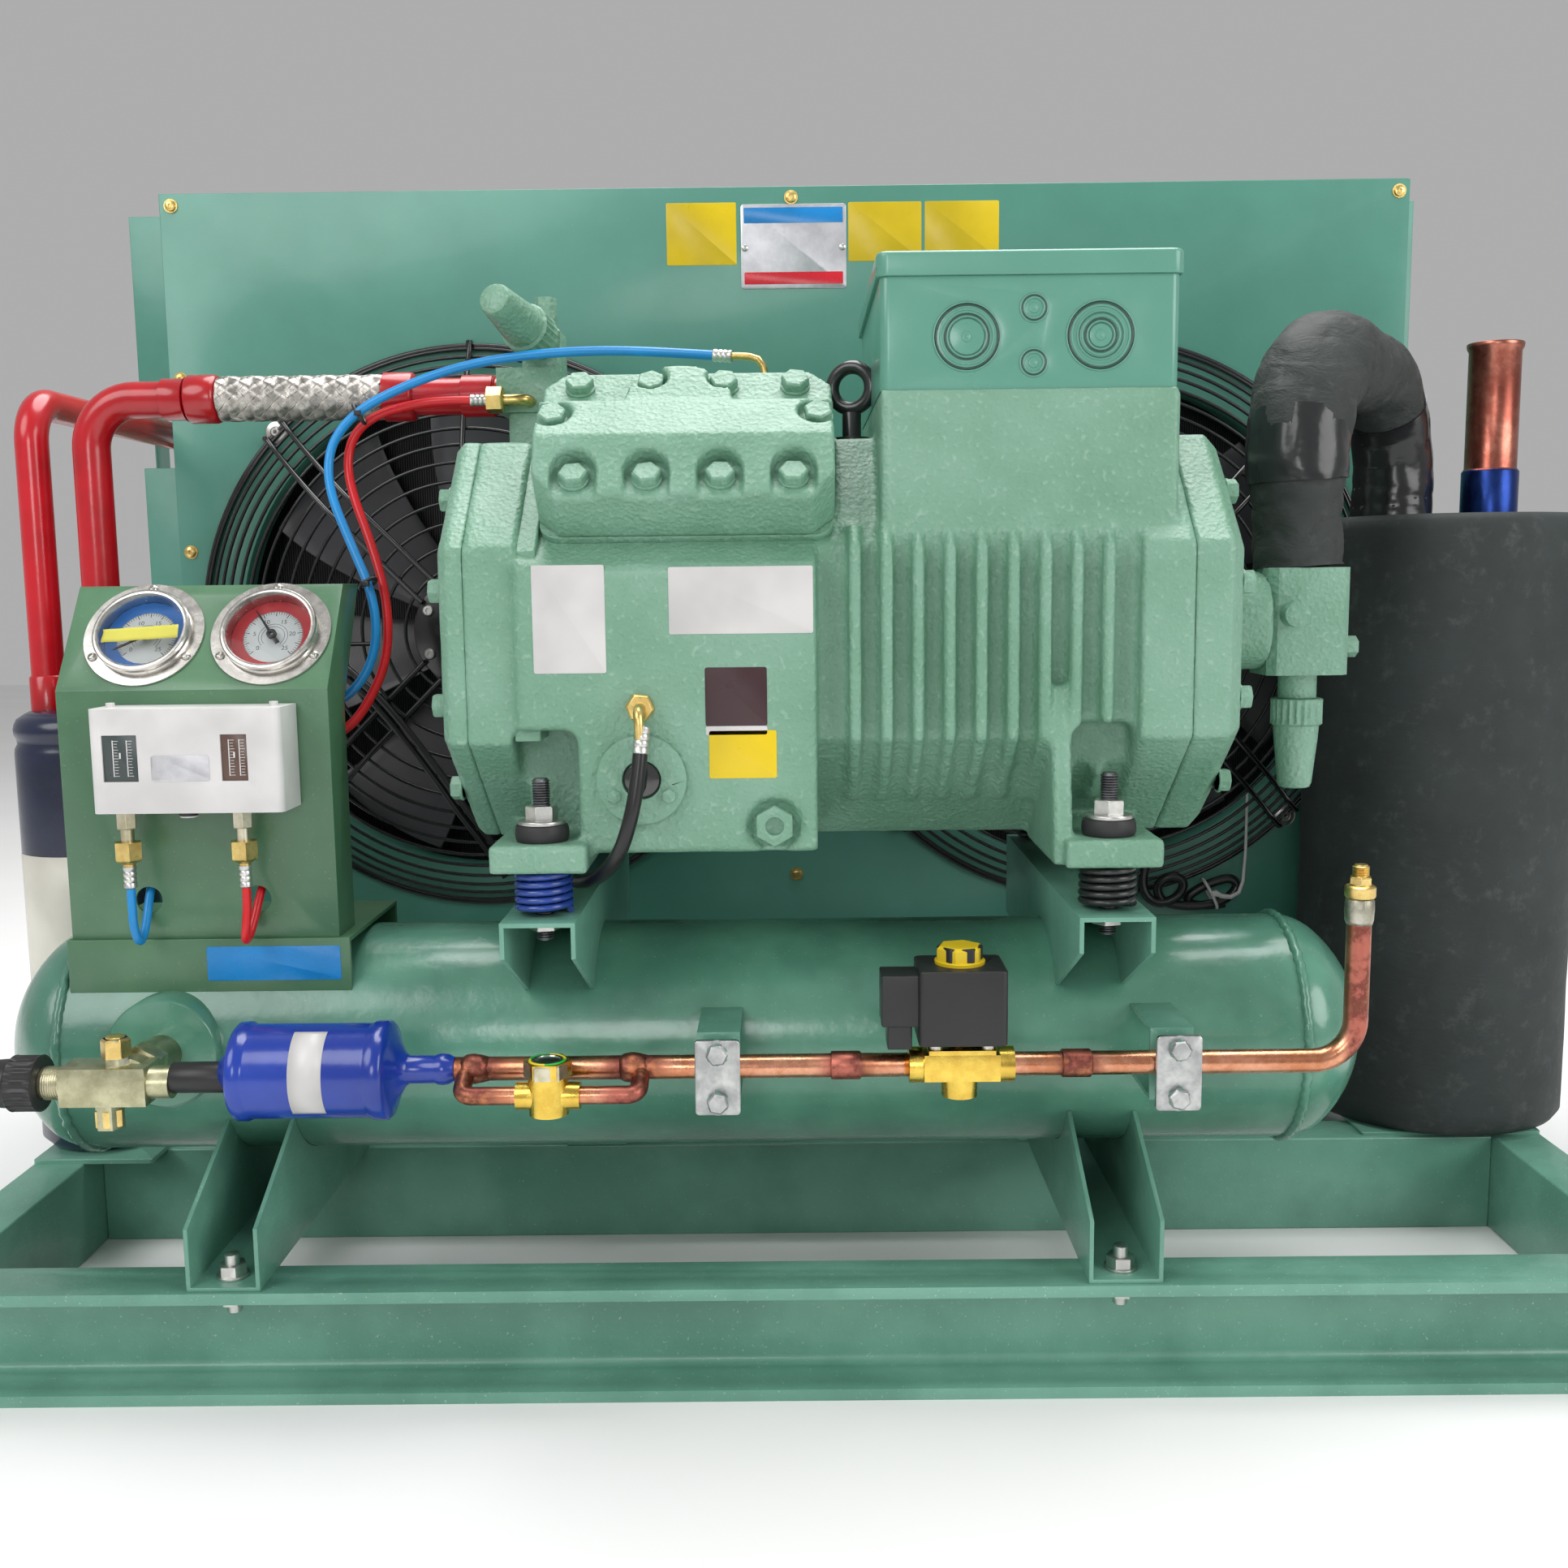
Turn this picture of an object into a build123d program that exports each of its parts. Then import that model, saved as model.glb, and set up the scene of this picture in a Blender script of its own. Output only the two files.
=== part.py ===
"""Air-cooled refrigeration condensing unit: base, receiver, compressor, piping, panel and condenser.

Everything is laid out in millimetres with X to the right, Y measured back from the front edge of the
base and Z up from the floor. The export moves it so that the origin is under the middle of the base.
"""
import os
from math import atan2, cos, degrees, pi, radians, sin, sqrt, tan

from build123d import *

# ---------------------------------------------------------------- driving dimensions
clear = 0.3                      # gap between pieces of different joints, or that touch on a curve
running = 0.05                   # radial running clearance of a shaft or needle pin

# base of rolled channel
frame_length = 1263.0
frame_depth = 740.0
channel_height = 80.0
channel_width = 43.0
channel_web = 5.0
channel_flange = 8.0
weld_gap = 0.1
cross_beam_y = 272.5             # front face of the middle beam's web
anchor_radius = 7.0
anchor_inset_x = 45.0
anchor_inset_y = 18.0
saddle_bolt_y = 22.0

# liquid receiver
receiver_radius = 84.0
receiver_x0 = -527.0             # ends of the straight cylinder
receiver_x1 = 365.0
receiver_head = 60.0
knuckle_radius = 40.0
receiver_y = 164.0
receiver_z = 212.0
weld_width = 5.0
weld_rise = 3.5
receiver_pad_x = -448.0
receiver_pad_z = 224.0

# folded supports
saddle_width = 50.0
saddle_x = (-387.0, 221.0)
saddle_front_wall = 44.0
sheet = 3.0
bracket_width = 50.0
bracket_top = 330.0
bracket_back = 350.0
bracket_wall = 24.0
bracket_floor = 262.0            # lower edge of the bracket's deep part, where its leg meets it

# compressor
compressor_x = 22.0              # middle of the foot pattern
compressor_y = 182.0
foot_spacing_x = 381.0
foot_spacing_y = 280.0
foot_thickness = 18.0
foot_width = 64.0
spring_height = 31.0
spring_radius = 20.0
spring_wire = 2.3
spring_turns = 5
stud_radius = 6.0
body_half = 137.0                # half width across the body's front and back faces
body_low = 367.0
body_top = 650.0
body_side_low = 445.0            # the octagon's vertical flats run from here
body_side_high = 574.0           # up to here
body_floor_half = 34.0
body_roof_half = 57.0
cover_left_x = -234.0
housing_left_x = -217.0
block_left_x = -181.0
block_right_x = 16.5
motor_flange_x = 234.0
housing_right_x = 269.0
cover_right_x = 302.5
rib_count = 9
rib_first_x = 43.0
rib_pitch = 21.1
rib_width = 7.0
rib_depth = 15.0
block_proud = 7.0                # how far the cylinder block stands ahead of the octagon

# cylinder heads
head_x = -69.0
head_length = 198.0
head_width = 124.0
head_flange = 38.0
head_pitch = 48.0
head_pocket_radius = 15.5

# inside and on the compressor
shaft_z = 500.0
shaft_radius = 20.0
crank_offset = 12.0
crank_radius = 38.0
crank_x = (head_x - 46, head_x + 46)
stator_x = (60.0, 205.0)
stator_radius = 104.0
rotor_radius = 62.0
chamber_radius = 98.0
front_y = compressor_y - body_half
block_y = front_y - block_proud
deck_y = 62.0                    # lower front corner of the sloping deck
deck_z = 577.0
valve_seat_z = 684.0
crank_room_x = (-218.0, 0.0)
motor_room_x = block_right_x
drain_x = -12.0
drain_z = 389.0
niche_height = 75.0
suction_x = 382.0
suction_z = 520.0
suction_top = 557.0
sight_x = -100.0
sight_z = 421.0
banjo_z = 469.0

# electrical box
box_x = (61.0, 258.0)
box_y = (60.0, 320.0)
box_z = (675.0, 748.0)
box_lid = 16.0
box_wall = 3.0
knock_outs = (
    (118.0, 709.0, (22.0, 13.0)),
    (206.0, 709.0, (22.5, 15.5, 9.0)),
    (162.0, 727.0, (9.0,)),
    (162.0, 692.0, (9.0,)),
)

# condenser
panel_y = 504.0
panel_x = (-582.0, 578.0)
panel_z = (80.0, 915.0)
panel_sheet = 2.0
fan_x = (-295.0, 291.0)
fan_z = 509.0
fan_radius = 222.0
fan_hole = 230.0
fan_hub = 68.0
fan_depth = 54.0
blade_count = 7
coil_y = (590.0, 668.0)
coil_x = (-562.0, 548.0)
rail_height = 4.0
rail_wall = 36.0
cover_x = (-657.0, 626.0)
ring_radii = (266.0, 232.0, 190.0, 150.0, 100.0)
ring_wire = 4.0

# gauge panel
gauge_panel_x = (-518.0, -326.0)
gauge_panel_y = 100.0
gauge_panel_z0 = receiver_z + receiver_radius + 5.5
gauge_bend_z = 480.0
gauge_top_y = 150.0
gauge_top_z = 553.0
gauge_x = (-463.0, -372.0)
gauge_radius = 43.0
gauge_depth = 28.0
gauge_window = 30.0
gauge_case = 32.0
hose_hole_x = (-461.0, -383.0)
hose_hole_z = 330.0
tee_z = (462.0, 440.0)
hose_radius = 3.5
switch_z = (398.0, 470.0)
switch_depth = 40.0
loop_radius = 3.0
oil_hose_radius = 5.0
switch_ports_x = (-464.0, -383.0)
switch_port_y = gauge_panel_y - 22

# piping
liquid_radius = 8.0
liquid_y = 18.0
liquid_z = 229.0
liquid_valve_z = 222.0
drier_x = (-384.0, -259.0)
drier_radius = 33.0
solenoid_x = (76.0, 146.0)
coil_box_x = (81.0, 139.0)
loop_x = (-220.0, -103.0)
loop_y = -6.0
loop_z = 218.0
indicator_x = -162.0
clamp_x = (-51.5, 254.0)
clamp_z = (200.0, 250.0)
riser_x = 374.0
riser_top = 340.0
liquid_cap_base = (-505.0, liquid_y, liquid_valve_z)
discharge_radius = 14.3
discharge_valve_x = (-226.0, -176.0)
discharge_valve_y = (242.0, 298.0)
discharge_cap_base = (-190.0, 250.0, 736.0)
discharge_cap_axis = (-0.3, -0.9, 0.28)
discharge_y = 270.0
discharge_z = 700.0
flexible_x = (-450.0, -319.0)
separator_x = -592.0
separator_y = 300.0
separator_radius = 53.0
separator_top = 452.0
separator_in_x = separator_x + 36
separator_out_x = separator_x - 26
inlet_back_y = 612.0
inlet_z = 704.0
notch_z = (674.0, 722.0)
accumulator_x = 568.0
accumulator_y = 370.0
accumulator_radius = 113.0
accumulator_z = (83.0, 600.0)
stub_x = 604.0
stub_radius = 21.0
stub_bore = 19.4
stub_length = 146.0
arch_x = 521.0                   # where the suction line comes down on the accumulator
arch_z = 712.0
arch_radius = 33.0

# routes of the hoses, points set by hand
low_hose_route = [
    (-450, 150, 462), (-426, 150, 462), (-391, 158, 458), (-352, 166, 459), (-325, 172, 474), (-311, 180, 504),
    (-316, 196, 543), (-335, 210, 582), (-354, 222, 624), (-355, 229, 655), (-341, 230, 677), (-317, 228, 693),
    (-275, 222, 709), (-232, 210, 718), (-186, 194, 721), (-138, 174, 720), (-92, 158, 716), (-53, 150, 712),
]
high_hose_route = [
    (-359, 150, 440), (-345, 150, 440), (-329, 157, 446), (-317, 172, 464), (-306, 190, 496), (-308, 206, 538),
    (-322, 220, 582), (-340, 233, 625), (-344, 240, 652), (-336, 242, 672), (-318, 241, 684), (-292, 238, 690),
    (-267, 230, 692), (-244, 230, 692),
]
low_loop_route = [
    (-464, 78, 343), (-464, 78, 329), (-463, 76, 315), (-461, 78, 304), (-461, 86, 305), (-461, 94, 317),
    (-462, 102, 330), (-463, 116, 348), (-463, 136, 376), (-463, 150, 408), (-463, 150, 450),
]
high_loop_route = [
    (-383, 78, 343), (-383, 78, 329), (-384, 76, 315), (-386, 78, 304), (-386, 86, 305), (-384, 94, 317),
    (-383, 102, 330), (-381, 116, 348), (-376, 136, 368), (-372, 150, 396), (-372, 150, 428),
]
oil_hose_route = [
    (-99, 18, 440), (-101, 14, 420), (-106, 12, 396), (-114, 18, 374), (-128, 36, 356), (-146, 62, 346),
    (-162, 92, 344),
]


# ---------------------------------------------------------------- helpers
on_base = (Align.CENTER, Align.CENTER, Align.MIN)


def block(x, y, z):
    """A box between two limits on each axis."""
    middle = Pos((x[0] + x[1]) / 2, (y[0] + y[1]) / 2, (z[0] + z[1]) / 2)
    return middle * Box(x[1] - x[0], y[1] - y[0], z[1] - z[0])


def rod(start, direction, radius, length, bore=0.0):
    """A round bar or, with a bore, a tube that runs from start along direction."""
    plane = Plane(origin=start, z_dir=direction)
    bar = plane * Cylinder(radius, length, align=on_base)
    if bore:
        bar -= plane * Cylinder(bore, length, align=on_base)
    return bar


def hexagon(start, direction, across, length, bore=0.0):
    """A hexagonal bar of a width across flats, from start along direction."""
    plane = Plane(origin=start, z_dir=direction)
    face = RegularPolygon(across / sqrt(3), 6)
    if bore:
        face -= Circle(bore)
    return extrude(plane * face, length)


def turned(start, direction, outline):
    """A turned piece: outline is a list of (distance along the axis, radius) pairs."""
    plane = Plane(origin=start, z_dir=direction)
    points = [(0, outline[0][0])] + [(r, z) for z, r in outline] + [(0, outline[-1][0])]
    return plane * revolve(Plane.XZ * make_face(Polyline(*points, close=True)), Axis.Z)


def along_x(x0, x1, outline):
    """A prism from x0 to x1 with an outline of (y, z) points."""
    face = Plane.YZ * make_face(Polyline(*outline, close=True))
    return Pos(x0, 0, 0) * extrude(face, x1 - x0)


def pipe(points, bends, radius, bore=0.0):
    """A round pipe along straight runs joined by bends."""
    path = FilletPolyline(*points, radius=bends) if len(points) > 2 else Line(*points)
    start = Plane(origin=path @ 0, z_dir=path % 0)
    body = sweep(start * Circle(radius), path=path)
    if bore:
        body -= sweep(start * Circle(bore), path=path)
    return body


def hose_bends(points):
    """Bend radii of a hose: 0.45 of the shorter run beside each point over the tangent of half the turn."""
    corners = [Vector(*p) for p in points]
    radii = []
    for before, here, after in zip(corners, corners[1:], corners[2:]):
        run_in = here - before
        run_out = after - here
        turn = radians(run_in.get_angle(run_out))
        radii.append(0.45 * min(run_in.length, run_out.length) / tan(turn / 2))
    return radii


def hose(name, points, radius):
    """A flexible hose along its hand-set route; prints the tightest bend and the volume check."""
    radii = hose_bends(points)
    path = FilletPolyline(*points, radius=radii)
    body = sweep(Plane(origin=path @ 0, z_dir=path % 0) * Circle(radius), path=path)
    expected = pi * radius**2 * path.length
    ratio = body.volume / expected
    print(f"{name}: length {path.length:.0f} mm, tightest bend {min(radii):.0f} mm, volume {ratio:.4f}")
    return body


def union(shapes):
    """Fuses a list of shapes into one."""
    shapes = list(shapes)
    return shapes[0].fuse(*shapes[1:]) if len(shapes) > 1 else shapes[0]


def group(*shapes):
    """Keeps separate solids together in one node."""
    solids = []
    for shape in shapes:
        solids += shape.solids()
    return Compound(children=solids)


def feet():
    """Centres of the four compressor feet."""
    for side in (-1, 1):
        for row in (-1, 1):
            yield compressor_x + side * foot_spacing_x / 2, compressor_y + row * foot_spacing_y / 2


bracket_x = (compressor_x - foot_spacing_x / 2, compressor_x + foot_spacing_x / 2)
foot_z = bracket_top + spring_height + 0.2
foot_top = foot_z + foot_thickness


# ---------------------------------------------------------------- base
def channel_section():
    """Section of the rolled channel, web on the left edge, flanges to the right."""
    outer = Rectangle(channel_width, channel_height, align=(Align.MIN, Align.MIN))
    hollow_height = channel_height - 2 * channel_flange
    inner = Pos(channel_web, channel_flange) * Rectangle(
        channel_width, hollow_height, align=(Align.MIN, Align.MIN)
    )
    section = outer - inner
    roots = [v for v in section.vertices() if abs(v.X - channel_web) < 0.01]
    return fillet(roots, 6)


def channel(start, direction, open_side, length):
    """A length of channel from start; open_side is the direction in which its flanges point."""
    plane = Plane(origin=start, x_dir=open_side, z_dir=direction)
    return extrude(plane * channel_section(), length)


def anchor_holes(y):
    holes = [
        Pos(side * (frame_length / 2 - anchor_inset_x), y, channel_flange / 2)
        * Cylinder(anchor_radius, 2 * channel_flange)
        for side in (-1, 1)
    ]
    return union(holes)


def front_beam():
    beam = channel((frame_length / 2, channel_width, 0), (-1, 0, 0), (0, -1, 0), frame_length)
    for x in saddle_x:
        beam -= Pos(x, saddle_bolt_y, channel_height) * Cylinder(5.5, 3 * channel_flange)
    return beam - anchor_holes(anchor_inset_y)


def rear_beam():
    beam = channel((-frame_length / 2, frame_depth - channel_width, 0), (1, 0, 0), (0, 1, 0), frame_length)
    return beam - anchor_holes(frame_depth - anchor_inset_y)


def side_beam(side):
    web = side * (frame_length / 2 - channel_width)
    gap = channel_width + weld_gap
    y = frame_depth - gap if side > 0 else gap
    return channel((web, y, 0), (0, -side, 0), (side, 0, 0), frame_depth - 2 * gap)


def cross_beam():
    reach = frame_length / 2 - channel_width
    return channel((-reach, cross_beam_y, 0), (1, 0, 0), (0, 1, 0), 2 * reach)


# ---------------------------------------------------------------- receiver and supports
def receiver():
    """Cylinder with dished heads, a raised weld at each end and the valve pad."""
    straight = receiver_x1 - receiver_x0
    rise = receiver_radius - knuckle_radius
    reach = receiver_head
    crown_radius = (reach**2 + rise**2 - knuckle_radius**2) / (2 * (reach - knuckle_radius))
    turn = degrees(atan2(rise, crown_radius - reach))
    right = [
        CenterArc((straight + reach - crown_radius, 0), crown_radius, 0, turn),
        CenterArc((straight, rise), knuckle_radius, turn, 90 - turn),
    ]
    left = [
        CenterArc((0, rise), knuckle_radius, 90, 90 - turn),
        CenterArc((crown_radius - reach, 0), crown_radius, 180 - turn, turn),
    ]
    top = Line((0, receiver_radius), (straight, receiver_radius))
    base = Line((-reach, 0), (straight + reach, 0))
    body = revolve(make_face([*right, top, *left, base]), Axis.X)
    for x in (0, straight):
        low, high = receiver_radius - 1, receiver_radius + weld_rise
        bead = Polyline((x - weld_width, low), (x - 2, high), (x + 2, high), (x + weld_width, low), close=True)
        body += revolve(make_face(bead), Axis.X)
    body = Pos(receiver_x0, receiver_y, receiver_z) * body
    pad = rod((receiver_pad_x, receiver_y - receiver_radius - 6, receiver_pad_z), (0, 1, 0), 22, 40)
    return body + pad


def receiver_cut(margin=0.2):
    """The space that the receiver takes up, for pieces that are welded to it."""
    length = receiver_x1 - receiver_x0
    return rod((receiver_x0, receiver_y, receiver_z), (1, 0, 0), receiver_radius + margin, length)


def saddle(x):
    """Upward-open folded channel from the front beam to the middle beam, shaped to the receiver."""
    half = saddle_width / 2
    z0 = channel_height
    beside_leg = min(abs(x - leg) for leg in bracket_x) < half + bracket_width / 2
    back = cross_beam_y if beside_leg else cross_beam_y + channel_width - 3
    side = [
        (3, z0), (3, z0 + saddle_front_wall), (95, z0 + 92), (back - 90, z0 + 92), (back, z0 + 40), (back, z0)
    ]
    body = along_x(x - half, x + half, side)
    body -= block((x - half + sheet, x + half - sheet), (-10, frame_depth), (z0 + sheet, z0 + 200))
    body -= receiver_cut()
    return body - Pos(x, saddle_bolt_y, z0) * Cylinder(5.5, 20)


def spring_bracket(x):
    """Downward-open folded channel on top of the receiver that carries two springs."""
    half = bracket_width / 2
    top = bracket_top
    low = top - bracket_wall
    floor = bracket_floor
    side = [(8, top), (8, low), (97, floor), (bracket_back, floor), (bracket_back, top)]
    body = along_x(x - half, x + half, side)
    body -= block((x - half + sheet, x + half - sheet), (0, frame_depth), (200, top - sheet))
    body -= receiver_cut()
    for foot_x, foot_y in feet():
        if abs(foot_x - x) < half:
            body -= Pos(foot_x, foot_y, top) * Cylinder(stud_radius + 0.5, 20)
    return body


def bracket_leg(x):
    """Upright channel from the middle beam to the back of the spring bracket."""
    half = bracket_width / 2
    y0 = cross_beam_y
    y1 = cross_beam_y + channel_width - 3
    body = block((x - half, x + half), (y0, y1), (channel_height, bracket_floor))
    return body - block((x - half + sheet, x + half - sheet), (y0 + sheet, y1 + 1), (0, 300))


def saddle_bolt(x):
    """Hex bolt with washers and nut through the saddle and the beam's flange."""
    top = channel_height + sheet
    low = channel_height - channel_flange
    shank = rod((x, saddle_bolt_y, low - 14), (0, 0, 1), 5, top - low + 14)
    head = hexagon((x, saddle_bolt_y, top + 2), (0, 0, 1), 17, 7)
    end = rod((x, saddle_bolt_y, top + 9), (0, 0, 1), 5, 7)
    washer = rod((x, saddle_bolt_y, top), (0, 0, 1), 11, 2)
    nut = hexagon((x, saddle_bolt_y, low - 8), (0, 0, 1), 17, 8)
    return union([shank, head, end, washer, nut])


def mount_spring(x, y):
    """Coil spring between bracket and foot."""
    pitch = (spring_height - 2 * spring_wire - 0.2) / spring_turns
    height = pitch * spring_turns
    path = Helix(pitch, height, spring_radius - spring_wire)
    section = Plane(origin=path @ 0, z_dir=path % 0) * RegularPolygon(spring_wire, 8)
    coil = sweep(section, path=path, is_frenet=True)
    return Pos(x, y, bracket_top + spring_wire + 0.2) * coil


def spring_stud(x, y):
    """Threaded stud with a nut under the bracket, and washer and nut over the rubber ring."""
    ring_top = foot_top + 12
    stud = rod((x, y, bracket_top - 18), (0, 0, 1), stud_radius, 110)
    low_nut = hexagon((x, y, bracket_top - sheet - 8), (0, 0, 1), 19, 8)
    washer = rod((x, y, ring_top), (0, 0, 1), 16, 2.5)
    high_nut = hexagon((x, y, ring_top + 2.5), (0, 0, 1), 19, 10)
    return union([stud, low_nut, washer, high_nut])


def rubber_ring(x, y):
    """Rubber cushion between the foot and the stud's washer."""
    ring = rod((x, y, foot_top), (0, 0, 1), 18, 12, bore=stud_radius + 0.4)
    return chamfer(ring.edges().filter_by(GeomType.CIRCLE).sort_by(SortBy.RADIUS)[-2:], 2.5)


# ---------------------------------------------------------------- compressor


def mirrored(points):
    """Closes an outline of (y, z) points with its mirror image about the compressor's middle plane."""
    return points + [(2 * compressor_y - y, z) for y, z in reversed(points)]


def octagon(inset=0.0):
    """Outline of the compressor's end flanges, drawn smaller on its two sides by inset."""
    return mirrored([
        (compressor_y - body_floor_half, body_low),
        (front_y + inset, body_side_low),
        (front_y + inset, body_side_high),
        (compressor_y - body_roof_half, body_top),
    ])


def head_plane(side):
    """Plane of the deck: x along the unit, y up the slope, z square to the deck; side is -1 front, 1 rear."""
    out = (0, side, 1)
    corner_y = deck_y if side < 0 else 2 * compressor_y - deck_y
    x_dir = (1, 0, 0) if side < 0 else (-1, 0, 0)
    return Plane(origin=(head_x, corner_y, deck_z), x_dir=x_dir, z_dir=out)


def crankcase():
    """Cast body: end flanges, cylinder block with its sloping decks, ribbed motor shell, pedestal and feet."""
    body = along_x(housing_left_x, block_left_x, octagon())
    body += along_x(motor_flange_x, housing_right_x, octagon())
    body += along_x(block_right_x - 1, motor_flange_x + 1, octagon(rib_depth))
    lower = mirrored([(block_y, body_low + 4), (block_y, 562), (deck_y, deck_z), (compressor_y - 60, deck_z)])
    body += along_x(block_left_x - 1, block_right_x, lower)
    deck_length = head_length / 2 + 2
    peak = deck_z + compressor_y - deck_y
    body += along_x(
        head_x - deck_length,
        head_x + deck_length,
        mirrored([(deck_y, 540), (deck_y, deck_z), (compressor_y - 1, peak - 1)]),
    )
    for i in range(rib_count):
        x = rib_first_x + i * rib_pitch
        rib = along_x(x - rib_width / 2, x + rib_width / 2, octagon())
        body += rib & block((x - 20, x + 20), (0, 400), (395, 588))
    body += block((box_x[0] + 1, box_x[1] + 1), (58, 306), (560, box_z[0]))
    body += block((housing_left_x, head_x - deck_length - 1), discharge_valve_y, (560, valve_seat_z))
    for x, y in feet():
        body += compressor_foot(x, y)
    for x, y in feet():
        body -= foot_niche(x, y)
    for side in (-1, 1):
        body -= head_plane(side) * block((-deck_length, deck_length), (-1, head_width + 1), (0, 70))
    crank_room_length = crank_room_x[1] - crank_room_x[0]
    body -= rod((crank_room_x[0], compressor_y, shaft_z), (1, 0, 0), chamber_radius, crank_room_length)
    body -= rod((motor_room_x, compressor_y, shaft_z), (1, 0, 0), stator_radius + running, 400)
    body -= rod((-300, compressor_y, shaft_z), (1, 0, 0), shaft_radius + running, 500)
    body -= rod((drain_x, block_y - 1, drain_z), (0, 1, 0), 18, 7)
    return body


def compressor_foot(x, y):
    """Cast foot pad reaching out from the body, with a web up to the motor shell."""
    side = -1 if y < compressor_y else 1
    inner = compressor_y + side * body_floor_half
    outer = y + side * 24
    half = foot_width / 2
    pad = block((x - half, x + half), tuple(sorted((inner, outer))), (foot_z, foot_top))
    if x < compressor_x:
        return pad
    reach = [(outer - side * 14, foot_z), (outer - side * 14, foot_top), (compressor_y + side * 130, 480)]
    outline = reach + [(inner, 480), (inner, foot_z)]
    return pad + along_x(x - half - 6, x - half + 6, outline)


def foot_niche(x, y):
    """Room in the casting round the stud of a foot."""
    side = -1 if y < compressor_y else 1
    inner = y - side * 40
    outer = y + side * 60
    left = x - 20 if x < compressor_x else x - 25
    niche = block((left, left + 46), tuple(sorted((inner, outer))), (foot_top, foot_top + niche_height))
    niche = fillet(niche.edges().filter_by(Axis.Y).sort_by(Axis.Z)[-2:], 9)
    return niche + Pos(x, y, foot_z) * Cylinder(stud_radius + 1, 60)


def head_pockets():
    """Places (x, y) on the deck of the four lower and four upper bolts of a head."""
    for i in range(4):
        yield (i - 1.5) * head_pitch, 16.0
    for x in (-74, -25, 25, 74):
        yield x, head_width - 17


def valve_plate(side):
    plate = Pos(0, head_width / 2) * RectangleRounded(head_length, head_width, 14)
    return extrude(head_plane(side) * plate, 6)


def cylinder_head(side):
    """Cast head with a sloped outer face, four arched bolt pockets, corner recesses and a round cover."""
    plane = head_plane(side)
    top = head_flange + 6
    outline = [(0, 6), (0, top), (40, top + 16), (80, top + 12), (88, top), (head_width, top), (head_width, 6)]
    half = head_length / 2
    face = Plane.YZ * make_face(Polyline(*outline, close=True))
    body = Pos(-half, 0, 0) * extrude(face, head_length)
    cut_corners = Rectangle(400, 400) - chamfer(Rectangle(head_length, head_width).vertices(), 15)
    body -= extrude(Pos(0, head_width / 2) * cut_corners, 100)
    body += Pos(-5, 84, top - 2) * Cylinder(36, 12, align=on_base)
    for x, y in head_pockets():
        if y < head_width / 2:
            body -= Pos(x, y, top - 3) * Cylinder(head_pocket_radius, 60, align=on_base)
            body -= Pos(x, y - 20, top - 3) * Box(2 * head_pocket_radius, 40, 60, align=on_base)
        else:
            body -= Pos(x, y, top) * Cylinder(12, 30, align=on_base)
    for x in (-half + 10, half - 10):
        body -= Pos(x, 66, top + 6) * Cylinder(14, 30, align=on_base)
    return plane * body


def head_bolts(side):
    """Hex bolts of one head, seated in its pockets, along its top edge and in its corner recesses."""
    plane = head_plane(side)
    top = head_flange + 6
    bolts = []
    for x, y in head_pockets():
        seat = top - 3 if y < head_width / 2 else top
        bolts.append(hex_head(seat).moved(Location((x, y, 0))))
    for x in (-head_length / 2 + 10, head_length / 2 - 10):
        bolts.append(hex_head(top + 6).moved(Location((x, 66, 0))))
    return [plane * bolt for bolt in bolts]


def hex_head(seat, across=17.0, height=9.0):
    """Hex bolt head standing at a height above the local plane."""
    return Pos(0, 0, seat) * extrude(RegularPolygon(across / sqrt(3), 6), height)


def end_bolts(x, direction, count=10):
    """Hex heads round an end cover."""
    radius = body_half - 12
    for i in range(count):
        angle = 2 * pi * (i + 0.5) / count
        y = compressor_y + radius * cos(angle)
        z = (body_low + body_top) / 2 + radius * sin(angle)
        yield Plane(origin=(x, y, z), z_dir=(direction, 0, 0)) * hex_head(0, 15, 9)


def bearing_cover():
    """Octagonal end cover with the blind bearing of the crankshaft."""
    body = along_x(cover_left_x, housing_left_x, octagon())
    body = chamfer(body.faces().sort_by(Axis.X)[0].edges(), 6)
    body += rod((cover_left_x - 14, compressor_y, shaft_z), (1, 0, 0), 48, 16)
    return body - rod((cover_left_x - 2, compressor_y, shaft_z), (1, 0, 0), shaft_radius + running, 60)


def motor_cover():
    """Octagonal motor end cover with the boss that carries the suction valve."""
    body = along_x(housing_right_x, cover_right_x, octagon())
    body = chamfer(body.faces().sort_by(Axis.X)[-1].edges(), 10)
    boss_length = suction_x - 30 - cover_right_x
    body += rod((cover_right_x - 1, compressor_y, suction_z - 2), (1, 0, 0), 36, boss_length + 1)
    return body


def crankshaft():
    """Main shaft with two eccentric journals half a turn apart."""
    x0 = cover_left_x + 1
    shaft = rod((x0, compressor_y, shaft_z), (1, 0, 0), shaft_radius, stator_x[1] + 20 - x0)
    for x, way in zip(crank_x, (1, -1)):
        shaft += rod((x - 18, compressor_y, shaft_z + way * crank_offset), (1, 0, 0), crank_radius, 36)
    return shaft


def motor_rotor():
    start = (stator_x[0], compressor_y, shaft_z)
    return rod(start, (1, 0, 0), rotor_radius, stator_x[1] - stator_x[0], bore=shaft_radius + 0.02)


def motor_stator():
    """Laminated stator ring with its winding heads."""
    x0, x1 = stator_x
    ring = rod((x0, compressor_y, shaft_z), (1, 0, 0), stator_radius, x1 - x0, bore=rotor_radius + 0.6)
    for x in (x0 - 22, x1):
        ring += rod((x, compressor_y, shaft_z), (1, 0, 0), stator_radius - 10, 22, bore=rotor_radius + 8)
    return ring


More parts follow.
